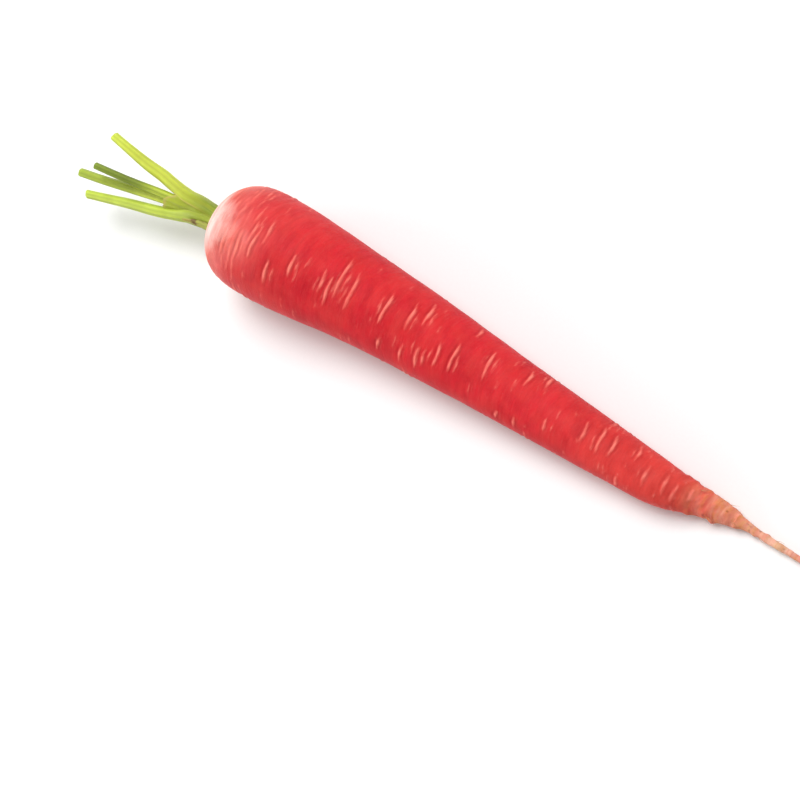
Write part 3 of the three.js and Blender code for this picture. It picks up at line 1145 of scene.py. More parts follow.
@dataclass(frozen=True)
class Scarring:
    """How marks are cut in the skin: a raised, pale lip with a groove on either side, darkened with painted
    shade.

    Attributes:
        reach: How far from its line a mark changes the skin.
        lean: How far a mark leans towards the crown on its +Y side, as a share of its length.
        droop: How much more it leans the further down the side it lies.
        stray: How far one mark's lean may depart from that.
        bow: How far its ends bend towards the crown, against its length squared over the radius.
        waver: How far the line of a long mark wavers, and from which length on.
        full_height: The height from which on a mark shows its colours in full.
        lip_width: The lip's width on a faint mark, and how much more it has in the middle of a strong one.
        groove_gap: How far beyond the lip's width the grooves lie: the one on the crown's side first.
        groove_width: Their width.
        far_groove: The second groove's depth as a share of the first one's.
        groove_depth: The first groove's depth as a share of the lip's height.
        relief_share: The share of a mark's height that is shaped; its colour tells the rest.
        glow: How strongly the skin beside the lip pales, how far off its line and how wide.
    """

    reach: float = 4.5
    lean: float = -0.04
    droop: float = 0.14
    stray: float = 0.25
    bow: float = 0.055
    waver: tuple[float, float] = (0.2, 8.0)
    full_height: float = 0.4
    lip_width: tuple[float, float] = (0.36, 0.2)
    groove_gap: tuple[float, float] = (0.45, 0.5)
    groove_width: float = 0.45
    far_groove: float = 0.75
    groove_depth: float = 0.6
    relief_share: float = 0.5
    glow: Triple = (0.32, 0.2, 1.15)

    def cut(self, mark: Mark, number: int, x: Array, r: Array, angle: Array) -> ThreeArrays:
        """Cut one mark.

        Args:
            mark: The mark.
            number: Its place among all marks, which its own draws start from.
            x: The distance of each ring near it, as a column.
            r: The radius of each ring near it, as a column.
            angle: The angle of each side, as a row.

        Returns:
            The mark's relief, with the masks of its pale lip and of the painted shade in its grooves.
        """
        around = shorter_turn(mark.angle, angle) * r / (mark.length / 2)
        inside = np.maximum(0, 1 - around**2)
        slope = self.lean - self.droop * math.sin(mark.angle)
        lean = (slope * mark.length + draw_within(number + 301, self.stray)) * around
        bow = self.bow * mark.length**2 / r * around**2
        waver, wavering_length = self.waver
        waver *= np.sin(around * 3.5 + 6 * draw(number + 401)) * min(1, mark.length / wavering_length)
        offset = x - mark.distance - np.where(inside > 0, lean - bow + waver, 0)

        strength = min(1, mark.height / self.full_height)
        width = self.lip_width[0] + self.lip_width[1] * strength * inside
        lip = bell(offset, width)
        first, second = (gap + width for gap in self.groove_gap)
        near = bell(offset + first, self.groove_width)
        groove = np.maximum(near, self.far_groove * bell(offset - second, self.groove_width))
        relief = self.relief_share * mark.height * inside * (lip - self.groove_depth * groove)

        patchy = 0.84 + 0.16 * np.sin(around * 6 + 6 * draw(number + 501))
        shown = inside**0.7 * patchy * between(0.3, 1.0, strength)
        glow, glow_offset, glow_width = self.glow
        pale = np.maximum(bell(offset, 1.2 * width), glow * bell(offset - glow_offset, glow_width))
        return relief, shown * pale, shown * strength * groove


@dataclass
class Taproot:
    """The root from its crown to its tail, carved ring by ring from a turned blank.

    Zones are the distances between which something sets in or ends.

    Attributes:
        rest_depth: How far the shoulder's underside is flattened by the floor.
        taper: Past the shoulder, (distance, radius).
        drift: How far the root wanders sideways, (distance, y).
        tail_height: How high the tail is held, (distance, height of its axis).
        scars: (distance, degrees from the top towards +Y, length, height) of the scars on the upper side.
        hidden_sides: Where each scar is repeated on either side of the root's lower half: the fewest degrees
            from the top, and how many more there may be.
        hidden_shift: How far along the root a repeated scar may be moved.
        echoed_from: The length from which on a scar has a fainter stroke beside it.
        fine_marks: How many fine marks lie all over the root, shorter where it is thin.
        shoulder_marks: How many more lie by the shoulder.
        shoulder_crowding: The two powers of the beta draw that spreads these over their zone.
        knobs: (distance, degrees from the top, radius, height).
        hollow: How deep the crown is sunk for the neck, and the radii of the hollow's floor and rim.
        crown_rings: (height, radius, width) of the rings round the neck.
        crown_folds: The height of the folds round the neck, their middle's radius and their width.
        highlight_reach: How far over the skin the painted highlight round the neck reaches.
        highlight_shift: How much nearer the crown the shoulder turns red, and on one side how much further
            its pale, partly painted highlight reaches.
        slack: How much narrower the widest ring is than the shoulder's radius.
        clearance: How far the relief stays inside that radius.
        first_ring: The radius of the ring round the crown's middle.
        ring_gaps: How far apart the rings are in the crown's hollow and past it.
        tail_gap: How much further apart they are along the tail.
    """

    radius: float = 19.0
    length: float = 262.0
    shoulder_length: float = 20.0
    shoulder_end_power: float = 2.8
    shoulder_side_power: float = 2.4
    crown_disc_radius: float = 5.6
    rest_depth: float = 0.35
    taper: Pairs = (
        (20, 19), (28, 18.9), (36, 18.3), (43, 17.6), (62, 15.7), (81, 14.4), (100, 13.1), (118, 11.75),
        (136, 10.6), (153, 9.6), (171, 8.45), (187, 7.3), (194, 6.1), (200, 4.8), (207, 3.8), (211, 3.1),
        (214, 2.35), (217, 1.65), (220, 1.35), (229, 1.1), (236, 0.9), (243, 0.7), (253, 0.5), (262, 0.32),
    )
    drift: Pairs = (
        (0, 0), (30, 0), (60, 0.4), (80, 0.2), (100, -0.4), (136, -1.9), (171, -3.3), (189, -3.8),
        (201, -2.4), (216, -1.9), (229, -2.4), (243, -2.9), (262, -3.8),
    )
    tail_height: Pairs = ((214, 2.55), (218, 2.2), (226, 2.1), (238, 2), (250, 1.7), (262, 1.4))
    scars: Rows = (
        (16, -24, 7, 0.45), (22, -17, 13, 0.55), (27.5, -9, 10, 0.45), (35.5, -28, 10, 0.5),
        (43.5, -8, 9.5, 0.4), (55.5, -7, 9.4, 0.3), (58.5, -15, 11, 0.5), (61, 9, 17, 0.5),
        (66.5, -1, 15.5, 0.35), (80, 5, 13, 0.5), (81.5, -46, 6, 0.35), (89, 13, 12, 0.35),
        (90.5, -41, 8, 0.35), (93.5, 30, 11, 0.5), (96.5, -36, 9.5, 0.35), (99, -31, 7, 0.3),
        (103.5, -15, 10, 0.35), (109, -5, 11.5, 0.5), (110, 58, 7, 0.35), (120.5, 16, 12, 0.35),
        (129, -56, 4, 0.35), (134, 38, 9, 0.35), (136, -52, 5, 0.3), (139.5, 57, 10, 0.35),
        (147, -22, 5, 0.25), (160, 6, 9, 0.26), (166, 12, 10.5, 0.35), (170.5, 16, 9, 0.35),
        (175.5, -58, 6, 0.3), (178.5, 38, 7.5, 0.3), (184.5, -4, 8.5, 0.3), (191, 3, 8, 0.3),
        (194.5, -11, 7.5, 0.3), (199, 2, 5, 0.3), (25.5, 5, 10, 0.35), (30.5, 12, 11, 0.3),
    )
    hidden_sides: tuple[float, float] = (86.0, 88.0)
    hidden_shift: float = 2.5
    echoed_from: float = 9.5
    scarring: Scarring = Scarring()
    fine_marks: int = 170
    fine_zone: Zone = (7.0, 205.0)
    fine_lengths: Zone = (2.5, 8.0)
    fine_heights: Zone = (0.04, 0.12)
    shoulder_marks: int = 58
    shoulder_zone: Zone = (6.0, 40.0)
    shoulder_crowding: tuple[float, float] = (1.4, 2.2)
    shoulder_lengths: Zone = (5.0, 14.0)
    shoulder_heights: Zone = (0.08, 0.24)
    knobs: Rows = (
        (193, -62, 2.4, 0.35), (196, 150, 2.2, 0.4), (199, -80, 2, 0.45), (202, 75, 1.8, 0.3),
        (204.5, -45, 1.8, 0.55), (207, -95, 1.7, 0.6), (208, 20, 1.5, 0.35), (211.5, 5, 1.6, 0.45),
        (212, 110, 1.6, 0.35), (214.5, -55, 1.4, 0.4), (217.5, 60, 1.2, 0.25), (221, -70, 1, 0.35),
        (225, 85, 1, 0.3), (230, -20, 1, 0.35), (234, 120, 0.9, 0.3), (239, -90, 0.9, 0.25),
    )
    rough_zone: Zone = (178.0, 206.0)
    wrinkle_zones: tuple[Zone, Zone] = ((185.0, 203.0), (214.0, 222.0))
    pimple_zone: Zone = (188.0, 200.0)
    bead_zone: Zone = (216.0, 224.0)
    ring_zones: tuple[Zone, Zone] = ((2.0, 9.0), (24.0, 60.0))
    dimple_zone: Zone = (10.0, 30.0)
    hollow: Triple = (1.0, 4.0, 7.4)
    crown_rings: tuple[Triple, ...] = ((0.14, 6.1, 0.35), (0.1, 7.6, 0.4))
    crown_folds: Triple = (0.09, 7.5, 2.4)
    # The painted highlight: a pale glow painted on the skin round the neck, reaching furthest on one side.
    highlight_reach: OneSided = OneSided(elsewhere=20.0, more=15.0, towards=-8.0, width=36.0)
    highlight_start: Zone = (4.5, 9.0)
    highlight_strength: float = 0.95
    # Shifts the skin's colour: redder sooner round most of the shoulder, paler further on the side of the
    # painted highlight.
    highlight_shift: OneSided = OneSided(elsewhere=8.0, more=-15.0, towards=-13.0, width=27.0)
    highlight_shift_zones: tuple[Zone, Zone] = ((18.0, 30.0), (36.0, 50.0))
    slack: float = 0.17
    clearance: float = 0.01
    first_ring: float = 0.25
    ring_gaps: tuple[float, float] = (0.5, 0.3)
    tail_gap: float = 0.25
    sides: int = 120
    cuts: tuple[int, int] = (24, 31)
    finish: SkinFinish = SkinFinish()

    def __post_init__(self) -> None:
        """Lay out the rings and the angles of the sides."""
        self.taper_at = SmoothCurve(self.taper)
        self.drift_at = SmoothCurve(self.drift)
        self.tail_height_at = SmoothCurve(self.tail_height)
        self.angle = full_circle(self.sides)
        rings = math.prod(count + 1 for count in self.cuts) + 1
        self.reach, self.x, self.r = self._rings(rings)

    @property
    def axis_height(self) -> float:
        """Return the height of the shoulder's axis over the floor."""
        return self.radius - self.rest_depth

    def shoulder_distance(self, radius: Array | float) -> Array:
        """Return how far from the crown's end the shoulder has this radius."""
        outward = (np.asarray(radius, float) / self.radius) ** self.shoulder_side_power
        return self.shoulder_length * (1 - np.maximum(1 - outward, 0) ** (1 / self.shoulder_end_power))

    def height_at(self, x: Array) -> Array:
        """Return the height of the root's axis at each distance."""
        body = np.where(x < self.shoulder_length, self.axis_height, self.taper_at(x) - self.rest_depth)
        return np.where(x > self.tail_height[0][0], self.tail_height_at(x), body)

    def _rings(self, count: int) -> ThreeArrays:
        """Return each ring's distance over the skin, its x and its radius, closer where marks are.

        Args:
            count: How many rings there are.

        Returns:
            The three measures, one value for each ring.
        """
        disc = np.linspace(self.first_ring, self.crown_disc_radius, num=60)
        swing = np.linspace(math.asin(self.crown_disc_radius / self.radius), math.pi / 2, num=600)[1:]
        shoulder = self.radius * np.sin(swing)
        body = np.linspace(self.shoulder_length, self.length - 0.1, num=6000)[1:]
        face = self.shoulder_distance(self.crown_disc_radius)
        x = np.concatenate([np.full(len(disc), face), self.shoulder_distance(shoulder), body])
        r = np.concatenate([disc, shoulder, self.taper_at(body)])
        reach = np.concatenate([[0.0], np.cumsum(np.hypot(np.diff(x), np.diff(r)))])
        gaps = between(*self.ring_gaps, smoothstep(reach, 8, 14))
        gaps = gaps + self.tail_gap * smoothstep(x, 212, 222)
        filled = np.concatenate([[0.0], np.cumsum(np.diff(reach) / gaps[1:])])
        wanted = np.linspace(0, filled[-1], count)
        return tuple(np.interp(wanted, filled, values) for values in (reach + disc[0], x, r))

    @staticmethod
    def _echo(mark: Mark, number: int) -> Mark:
        """Return a shorter and fainter stroke that runs beside a long one, 1.5 to 2.5 mm off.

        Args:
            mark: The long one.
            number: What its draws start from.

        Returns:
            The fainter stroke.
        """
        side = 1 if draw(number) > 0.5 else -1
        gap = side * (1.5 + draw(number + 60))
        angle = mark.angle + draw_within(number + 70, 0.25)
        return Mark(mark.distance + gap, angle, 0.6 * mark.length, 0.4 * mark.height)

    def _marks(self) -> list[Mark]:
        """Return every mark: the scars on the upper side, two more round each, and the fine ones.

        Returns:
            The marks.
        """
        marks = []
        least, spread = self.hidden_sides
        for i, (distance, degrees, length, height) in enumerate(self.scars):
            marks.append(Mark(distance, math.radians(degrees), length, height))
            if length >= self.echoed_from:
                marks.append(self._echo(marks[-1], i + 201))
            for side, number in ((1, i + 1), (-1, i + 101)):
                angle = math.radians(side * (least + spread * draw(number)))
                shift = draw_within(number + 30, self.hidden_shift)
                marks.append(Mark(distance + shift, angle, length, height))
        return marks + self._fine_marks(np.random.default_rng(7))

    def _fine_marks(self, rng: np.random.Generator) -> list[Mark]:
        """Draw the marks between the scars.

        Args:
            rng: What they are drawn with.

        Returns:
            The marks.
        """
        marks = []
        for _ in range(self.fine_marks):
            distance, angle = rng.uniform(*self.fine_zone), rng.uniform(-math.pi, math.pi)
            scale = between(1.0, float(self.taper_at(distance)) / self.radius, 0.6)
            length, height = scale * rng.uniform(*self.fine_lengths), rng.uniform(*self.fine_heights)
            marks.append(Mark(distance, angle, length, height))
        for _ in range(self.shoulder_marks):
            share, angle = rng.beta(*self.shoulder_crowding), rng.uniform(-math.pi, math.pi)
            length, height = rng.uniform(*self.shoulder_lengths), rng.uniform(*self.shoulder_heights)
            marks.append(Mark(float(between(*self.shoulder_zone, share)), angle, length, height))
        return marks

    def _score(self, marks: list[Mark]) -> ThreeArrays:
        """Return the relief of the marks with the masks of their pale lips and of the painted shade in their
        grooves.

        Args:
            marks: The marks.

        Returns:
            The relief, the lips and the grooves' painted shade, by ring and side.
        """
        relief, lips, groove_shade = (np.zeros((len(self.x), self.sides)) for _ in range(3))
        for i, mark in enumerate(marks):
            rows = np.abs(self.x - mark.distance) < self.scarring.reach
            x, r = self.x[rows, None], self.r[rows, None]
            cut, lip, groove = self.scarring.cut(mark, i, x, r, self.angle[None, :])
            relief[rows] += cut
            lips[rows] = np.maximum(lips[rows], lip)
            groove_shade[rows] = np.maximum(groove_shade[rows], groove)
        return relief, lips, groove_shade

    def _knobs(self) -> Array:
        """Return the relief of the rough tip's and the tail's knobs.

        Returns:
            The relief, by ring and side.
        """
        relief = np.zeros((len(self.x), self.sides))
        for distance, degrees, size, height in self.knobs:
            around = shorter_turn(math.radians(degrees), self.angle) * np.maximum(self.r, size)[:, None]
            apart = np.hypot(self.x[:, None] - distance, around) / size
            relief += height * np.exp(-1.6 * apart**2)
        return relief

    def _unevenness(self) -> Array:
        """Return how the root departs from round, with the tip's wrinkles and the tail's beads.

        Returns:
            The relief, by ring and side.
        """
        x, angle = self.x[:, None], self.angle[None, :]
        body = 0.007 * np.cos(2 * angle + 1 + x / 90) + 0.005 * np.cos(3 * angle - x / 45)
        wrinkles = np.sin(5 * angle + x * 0.9) + np.sin(3 * angle - x * 1.7)
        wrinkles = 0.02 * inside_zones(x, *self.wrinkle_zones) * wrinkles
        beads = 0.06 * smoothstep(x, *self.bead_zone) * np.sin(x * 1.15 + np.cos(angle))
        return self.r[:, None] * (body + wrinkles + beads)

    def _skin_texture(self) -> Array:
        """Return the low relief between the scars: growth rings, dimples and the rough tip.

        Returns:
            The relief, by ring and side.
        """
        x, r = self.x[:, None], self.r[:, None]
        across, upright = r * np.sin(self.angle), r * np.cos(self.angle)
        places = np.stack([np.broadcast_to(x, across.shape), across, upright], axis=-1)
        ringwise = places * np.array([1.0, 0.11, 0.11])
        banded = places * np.array([1.0, 0.4, 0.4])

        ring_height = 0.05 + 0.09 * inside_zones(x, *self.ring_zones)
        where = smoothstep(noise_at(places, spacing=22, seed=2), -0.25, 0.35)
        rings = noise_at(ringwise, spacing=1.5, seed=1) * where * ring_height
        dimples = 0.12 * noise_at(places, spacing=9, seed=3) * smoothstep(x, *self.dimple_zone)

        pimples = np.maximum(0, noise_at(places, spacing=1.6, seed=6)) * smoothstep(x, *self.pimple_zone)
        lumps = 0.24 * noise_at(banded, spacing=1.7, seed=4)
        grit = 0.1 * noise_at(banded, spacing=0.8, seed=5)
        rough = smoothstep(x, *self.rough_zone) * np.minimum(1.0, r / 3.5)
        return rings + dimples + rough * (lumps + grit + 0.25 * pimples)

    def _crown(self) -> Array:
        """Return how far the crown is sunk along X: a hollow for the neck, with rings and folds round it.

        Returns:
            The depths, by ring and side.
        """
        r, angle = self.r[:, None], self.angle[None, :]
        depth, *hollow_zone = self.hollow
        hollow = depth * (1 - smoothstep(r, *hollow_zone))
        rings = sum(height * bell(r - radius, width) for height, radius, width in self.crown_rings)
        height, radius, width = self.crown_folds
        folds = height * np.sin(19 * angle + 2 * np.sin(3 * angle)) * bell(r - radius, width)
        on_crown = (self.x < self.shoulder_length)[:, None]
        return np.where(on_crown, hollow - rings * (1 + 0.5 * np.sin(7 * angle)) - folds, 0.0)

    def _painted_highlight_mask(self) -> Array:
        """Return the mask of the painted highlight: a pale glow painted on the skin round the neck.

        Returns:
            The mask, by ring and side.
        """
        reach = self.reach[:, None]
        gone = self.highlight_reach.at(self.angle) + 0.6 * np.sin(5 * self.angle + 1)
        left = 1 - smoothstep(reach, 0.5 * gone, gone)
        return self.highlight_strength * smoothstep(reach, *self.highlight_start) * left

    def _shifted_reach(self) -> Array:
        """Return the distance over the skin that sets its colour, longer where the shoulder is redder and
        shorter on the side where the painted highlight reaches further.
        """
        reach = self.reach[:, None]
        return reach + inside_zones(reach, *self.highlight_shift_zones) * self.highlight_shift.at(self.angle)

    def build(self, site: Site) -> None:
        """Carve the root, paint its masks and dress it.

        Args:
            site: What it is built on.
        """
        blank = Blank.turn("carrot_root", self.radius, self.length, self.sides, self.cuts, Ends.FAN)
        scored, lips, groove_shade = self._score(self._marks())
        relief = scored + self._knobs() + self._unevenness() + self._skin_texture()
        fade = smoothstep(self.x, 0.2, 8)[:, None]
        narrowed = self.r - self.slack * smoothstep(self.r, self.radius - 1.5, self.radius)
        radius = np.minimum(narrowed[:, None] + fade * relief, self.radius - self.clearance)
        x = self.x[:, None] + self._crown()
        y = self.drift_at(self.x)[:, None] + radius * np.sin(self.angle)
        z = np.maximum(0, self.height_at(self.x)[:, None] + radius * np.cos(self.angle))
        tail = [self.length, float(self.drift_at(self.length)), float(self.height_at(np.array(self.length)))]
        middles = ([x[0].mean(), 0.0, self.axis_height], tail)
        places = blank.spread(np.stack([x, y, z], axis=-1), middles)
        masks = {
            "scar": blank.spread(lips, (0.0, 0.0)),
            # The mask of the painted shade in the scars' grooves.
            "dark_red_and_groove_shade": blank.spread(groove_shade, (0.0, 0.0)),
            "reach": blank.spread(self._shifted_reach(), (0.0, self.reach[-1])),
            # The mask of the painted highlight round the neck.
            "painted_highlight": blank.spread(self._painted_highlight_mask(), (0.0, 0.0)),
        }
        piece = blank.piece
        move_to(piece, site.ground.in_frame(places))
        paint(piece, **masks)
        face_outwards(piece)
        self.finish.dress(piece, site.effects)
        settle(piece, Slot.SKIN, Node.TAPROOT)


# ---- leaf stalks


@dataclass(frozen=True)
class Neck:
    """The bundle that the stalks' feet make on the crown.

    Attributes:
        foot: The middle of the stalks' feet, from the crown's end.
        sunk: How deep the feet reach into the crown.
    """

    foot: Triple
    sunk: float = 2.4

    @classmethod
    def on(cls, root: Taproot, gap: float = 0.3, sideways: float = -0.9) -> "Neck":
        """Return a root's neck, whose feet have their middle a gap out from the crown's disc."""
        face = float(root.shoulder_distance(root.crown_disc_radius))
        return cls(foot=(face - gap, sideways, root.axis_height))

    def route(self, points: tuple[Triple, ...]) -> Route:
        """Return the route of a stalk whose points are given from the foot, sunk into the crown."""
        placed = np.array([(self.sunk, *points[0][1:]), *points]) + np.array(self.foot)
        return Route(placed, foot=1)

    def around(self, distance: Array, radius: Array, angle: Array) -> Array:
        """Return places round the neck's axis, with angles from +Y towards +Z."""
        y, z = polar(radius, angle).T
        return np.stack([self.foot[0] - distance, self.foot[1] + y, self.foot[2] + z], axis=-1)

    def crossing(self, route: Route, distance: Array) -> Array:
        """Return (y, z), from the neck's axis, where a route passes these distances out from the foot."""
        return route.crossing(self.foot[0] - distance) - np.array(self.foot[1:])


@dataclass
class LeafStalk:
    """A cut leaf stalk: its section is swept along its route, and its cut end shows the pith.

    Attributes:
        node: The solid that it stands for.
        slot: The record's slot of its finish.
        finish: Its colouring.
        route: Its middle line, from the neck's foot outwards.
        faces: The side of the neck that its back is turned to, in degrees from +Y towards +Z.
        rim_share: What the rim of skin leaves of the cut face's width.
        slope_share: What the slope inside it leaves of that.
        pith_depth: How far the pith is sunk.
    """

    node: Node
    slot: Slot
    finish: StalkFinish
    route: tuple[Triple, ...]
    faces: float = 0.0
    sides: int = 80
    cuts: tuple[int, ...] = (9, 11)
    rim_share: float = 0.9
    slope_share: float = 0.86
    pith_depth: float = 0.14

    def section(self, distance: float, length: float) -> ThreeArrays:
        """Return the outline at a distance, with the masks of its ribs and margins."""
        raise NotImplementedError

    def turned(self, out: Array, across: Array) -> tuple[Array, Array]:
        """Return how far sideways and upwards a spot of the outline lies.

        Args:
            out: How far out from the neck's middle it lies.
            across: How far to the side of that.

        Returns:
            How far sideways and how far upwards.
        """
        turn = math.radians(self.faces)
        sideways = out * math.cos(turn) - across * math.sin(turn)
        return sideways, out * math.sin(turn) + across * math.cos(turn)

    def build(self, site: Site) -> None:
        """Sweep the stalk, cut its end, paint its masks and dress it.

        Args:
            site: What it is built on.
        """
        name = self.node.value.replace("leaf_", "")
        route = site.neck.route(self.route)
        blank = Blank.turn(name, 2.0, route.length, self.sides, self.cuts, Ends.FACE)
        distance = np.linspace(route.distance[0], route.length, blank.rings)
        sections = zip(*(self.section(float(at), route.length) for at in distance))
        outline, rib, margin = (np.array(part) for part in sections)
        out, across = outline[..., :1], outline[..., 1:]
        sideways, upward = self.turned(out, across)
        centre, side, up = route.frames(distance)
        grid = centre[:, None] + sideways * side[:, None] + upward * up[:, None]
        lay = np.concatenate([np.broadcast_to(distance[:, None, None], out.shape), out, across], axis=-1)
        reach = np.broadcast_to(distance[:, None], rib.shape)
        piece = blank.piece
        masks = {"lay": lay * MM, "reach": reach, "end": route.length - reach, "rib": rib, "margin": margin}
        move_to(piece, site.ground.in_frame(blank.spread(grid)))
        paint(piece, **{layer: blank.spread(values) for layer, values in masks.items()})
        face_outwards(piece)
        self._cut_end(piece)
        self.finish.dress(piece, site.effects)
        settle(piece, self.slot, self.node)

    def _cut_end(self, piece: Piece) -> None:
        """Shape the cut face: a rim of skin round a slightly sunken pith.

        Args:
            piece: The stalk.
        """
        before = len(piece.data.vertices)
        faces = piece.data.polygons
        both_ends = [face for face in faces if len(face.vertices) == self.sides]
        end = min(both_ends, key=lambda face: face.center.x)
        middle = end.center.copy()
        sunk = -self.pith_depth * MM * end.normal
        chosen = np.arange(len(faces)) == end.index
        take(piece)
        select_in(piece, "polygons", chosen)
        bpy.ops.object.mode_set(mode="EDIT")
        for share, move in ((self.rim_share, Vector((0, 0, 0))), (self.slope_share, sunk)):
            bpy.ops.mesh.extrude_region_move(TRANSFORM_OT_translate={"value": move})
            bpy.ops.transform.resize(value=(share, share, share), center_override=middle + move)
        bpy.ops.object.mode_set(mode="OBJECT")
        paint(piece, cut=np.arange(len(piece.data.vertices)) >= before)


@dataclass
class SheathingStalk(LeafStalk):
    """A stalk whose foot is a sheath: a ribbed crescent with thin margins that clasps the neck.

    Attributes:
        sheath: The distance where its foot stops being a crescent, and where it is a round shaft.
        width: The shaft's width at its start and at its cut end.
        outer_radius: The sheath's outer radius at the crown.
        inner_radius: Its inner radius there.
        flare: How much wider it gets outwards, over the flare_zone.
        half_angle: How far the sheath reaches round on each side, in degrees.
        margin_drop: How far the sheath's margins lie below its back.
        outside_share: The share of the sides that lie on the outside.
        back_half_angle: How far the shaft's round back reaches on each side of its inner channel.
    """

    sheath: Zone = (9.0, 27.0)
    width: tuple[float, float] = (5.0, 3.5)
    outer_radius: float = 4.5
    inner_radius: float = 2.75
    flare: float = 0.6
    flare_zone: Zone = (2.0, 16.0)
    half_angle: float = 84.0
    margin_drop: float = 0.45
    margin_thickness: float = 0.25
    margin_zone: Zone = (4.0, 16.0)
    outside_share: float = 0.6
    back_half_angle: float = 112.0

    @staticmethod
    def _ribs(sweep: Array) -> Array:
        """Return the back's ribs, five broad ones with fine ones on them, from 0 to 1."""
        return 0.72 * ridges(FULL_TURN * sweep / 0.4) + 0.28 * ridges(FULL_TURN * sweep / 0.1333)

    def section(self, distance: float, length: float) -> ThreeArrays:
        """Return the outline, from a crescent at the foot to a round shaft with an inner channel.

        Args:
            distance: How far out from the neck's foot.
            length: The stalk's length.

        Returns:
            The outline as (out, across), the ribs and the margins, with a value for each side.
        """
        outside = round(self.sides * self.outside_share)
        over = np.linspace(-1, 1, outside)
        under = np.linspace(1, -1, self.sides - outside + 2)[1:-1]
        foot = self._crescent(over, under, distance)
        shaft = self._shaft(over, under, distance, length)
        ribs = np.concatenate([self._ribs(over), np.full(len(under), 0.8)])
        sheath_end = self.sheath[1]
        thin = inside_zones(distance, self.margin_zone, (0.6 * sheath_end, sheath_end))
        margin = smoothstep(np.abs(np.concatenate([over, under])), 0.9, 1.0) * thin
        return between(foot, shaft, float(smoothstep(distance, *self.sheath))), ribs, margin

    def margin_at(self, neck: Neck, distance: Array, side: int) -> tuple[Array, Array]:
        """Find one of the sheath's margins.

        Args:
            neck: The bundle that it belongs to.
            distance: How far out from the neck's foot.
            side: Which margin: 1 for the one that lies further round from +Y towards +Z, or -1.

        Returns:
            Its angle round the neck's axis, from +Y towards +Z, and its distance from that axis.
        """
        route = neck.route(self.route)
        places = np.linspace(distance.min(), distance.max(), num=60)
        corner = round(self.sides * self.outside_share) - 1 if side > 0 else 0
        spots = np.array([self.section(float(place), route.length)[0][corner] for place in places])
        y, z = neck.crossing(route, places).T + np.array(self.turned(*spots.T))
        angle = np.interp(distance, places, np.unwrap(np.arctan2(z, y)))
        return angle, np.interp(distance, places, np.hypot(y, z))

    def _crescent(self, over: Array, under: Array, distance: float) -> Array:
        """Return the sheath's outline at a distance.

        Args:
            over: The spots of its back, from -1 to 1.
            under: The spots of its inside, from 1 to -1.
            distance: How far out from the neck's foot.

        Returns:
            The outline as (out, across).
        """
        flare = self.flare * float(smoothstep(distance, *self.flare_zone))
        outer = self.outer_radius + flare
        margin = outer - self.margin_drop + 0.08 * math.sin(distance * 0.8)
        back = between(outer + 0.12 * self._ribs(over), margin, over**4)
        inside = between(self.inner_radius + flare, margin - self.margin_thickness, np.abs(under) ** 5)
        sweep = np.concatenate([over, under])
        return polar(np.concatenate([back, inside]), sweep * math.radians(self.half_angle))

    def _shaft(self, over: Array, under: Array, distance: float, length: float) -> Array:
        """Return the shaft's outline at a distance: round and ribbed, with a shallow inner channel.

        Args:
            over: The spots of its back, from -1 to 1.
            under: The spots of its channel, from 1 to -1.
            distance: How far out from the neck's foot.
            length: The stalk's length.

        Returns:
            The outline as (out, across).
        """
        width = between(*self.width, float(smoothstep(distance, self.sheath[1], length)))
        radius = width / 2 * (0.95 + 0.1 * self._ribs(over))
        back = polar(radius, over * math.radians(self.back_half_angle))
        across = np.sin(under * math.radians(80))
        channel = np.stack([-width * (0.17 + 0.12 * across**2), width * 0.3 * across], axis=-1)
        return np.concatenate([back, channel])


@dataclass
class SlimStalk(LeafStalk):
    """A thin stalk with five ribs, from the middle of the neck.

    Attributes:
        radius: Its radius as (distance, radius).
    """

    radius: Pairs = ((0, 1.1), (50, 1.1))
    sides: int = 60
    rib_count: int = 5

    def reach_at(self, neck: Neck, distance: Array, angle: Array) -> Array:
        """Return how far from the neck's axis the stalk reaches in each direction, or close to nothing.

        Args:
            neck: The bundle that it belongs to.
            distance: How far out from the neck's foot.
            angle: The direction, from +Y towards +Z.

        Returns:
            The distances from the axis.
        """
        centre = neck.crossing(neck.route(self.route), distance)
        along = centre[:, 0] * np.cos(angle) + centre[:, 1] * np.sin(angle)
        beside = centre[:, 0] * np.sin(angle) - centre[:, 1] * np.cos(angle)
        half_chord = np.sqrt(np.maximum(SmoothCurve(self.radius)(distance) ** 2 - beside**2, 0))
        return np.maximum(along + half_chord, 0.1)

    def section(self, distance: float, length: float) -> ThreeArrays:
        """Return the outline: round, with broad ribs and fine ones between them.

        Args:
            distance: How far out from the neck's foot.
            length: The stalk's length.

        Returns:
            The outline as (out, across), the ribs and the margins, with a value for each side.
        """
        angle = full_circle(self.sides)
        broad, fine = ridges(self.rib_count * angle), ridges(3 * self.rib_count * angle)
        radius = float(SmoothCurve(self.radius)(distance)) * (0.95 + 0.085 * broad + 0.02 * fine)
        return polar(radius, angle), 0.7 * broad + 0.3 * fine, np.zeros(self.sides)


# ---- small pieces


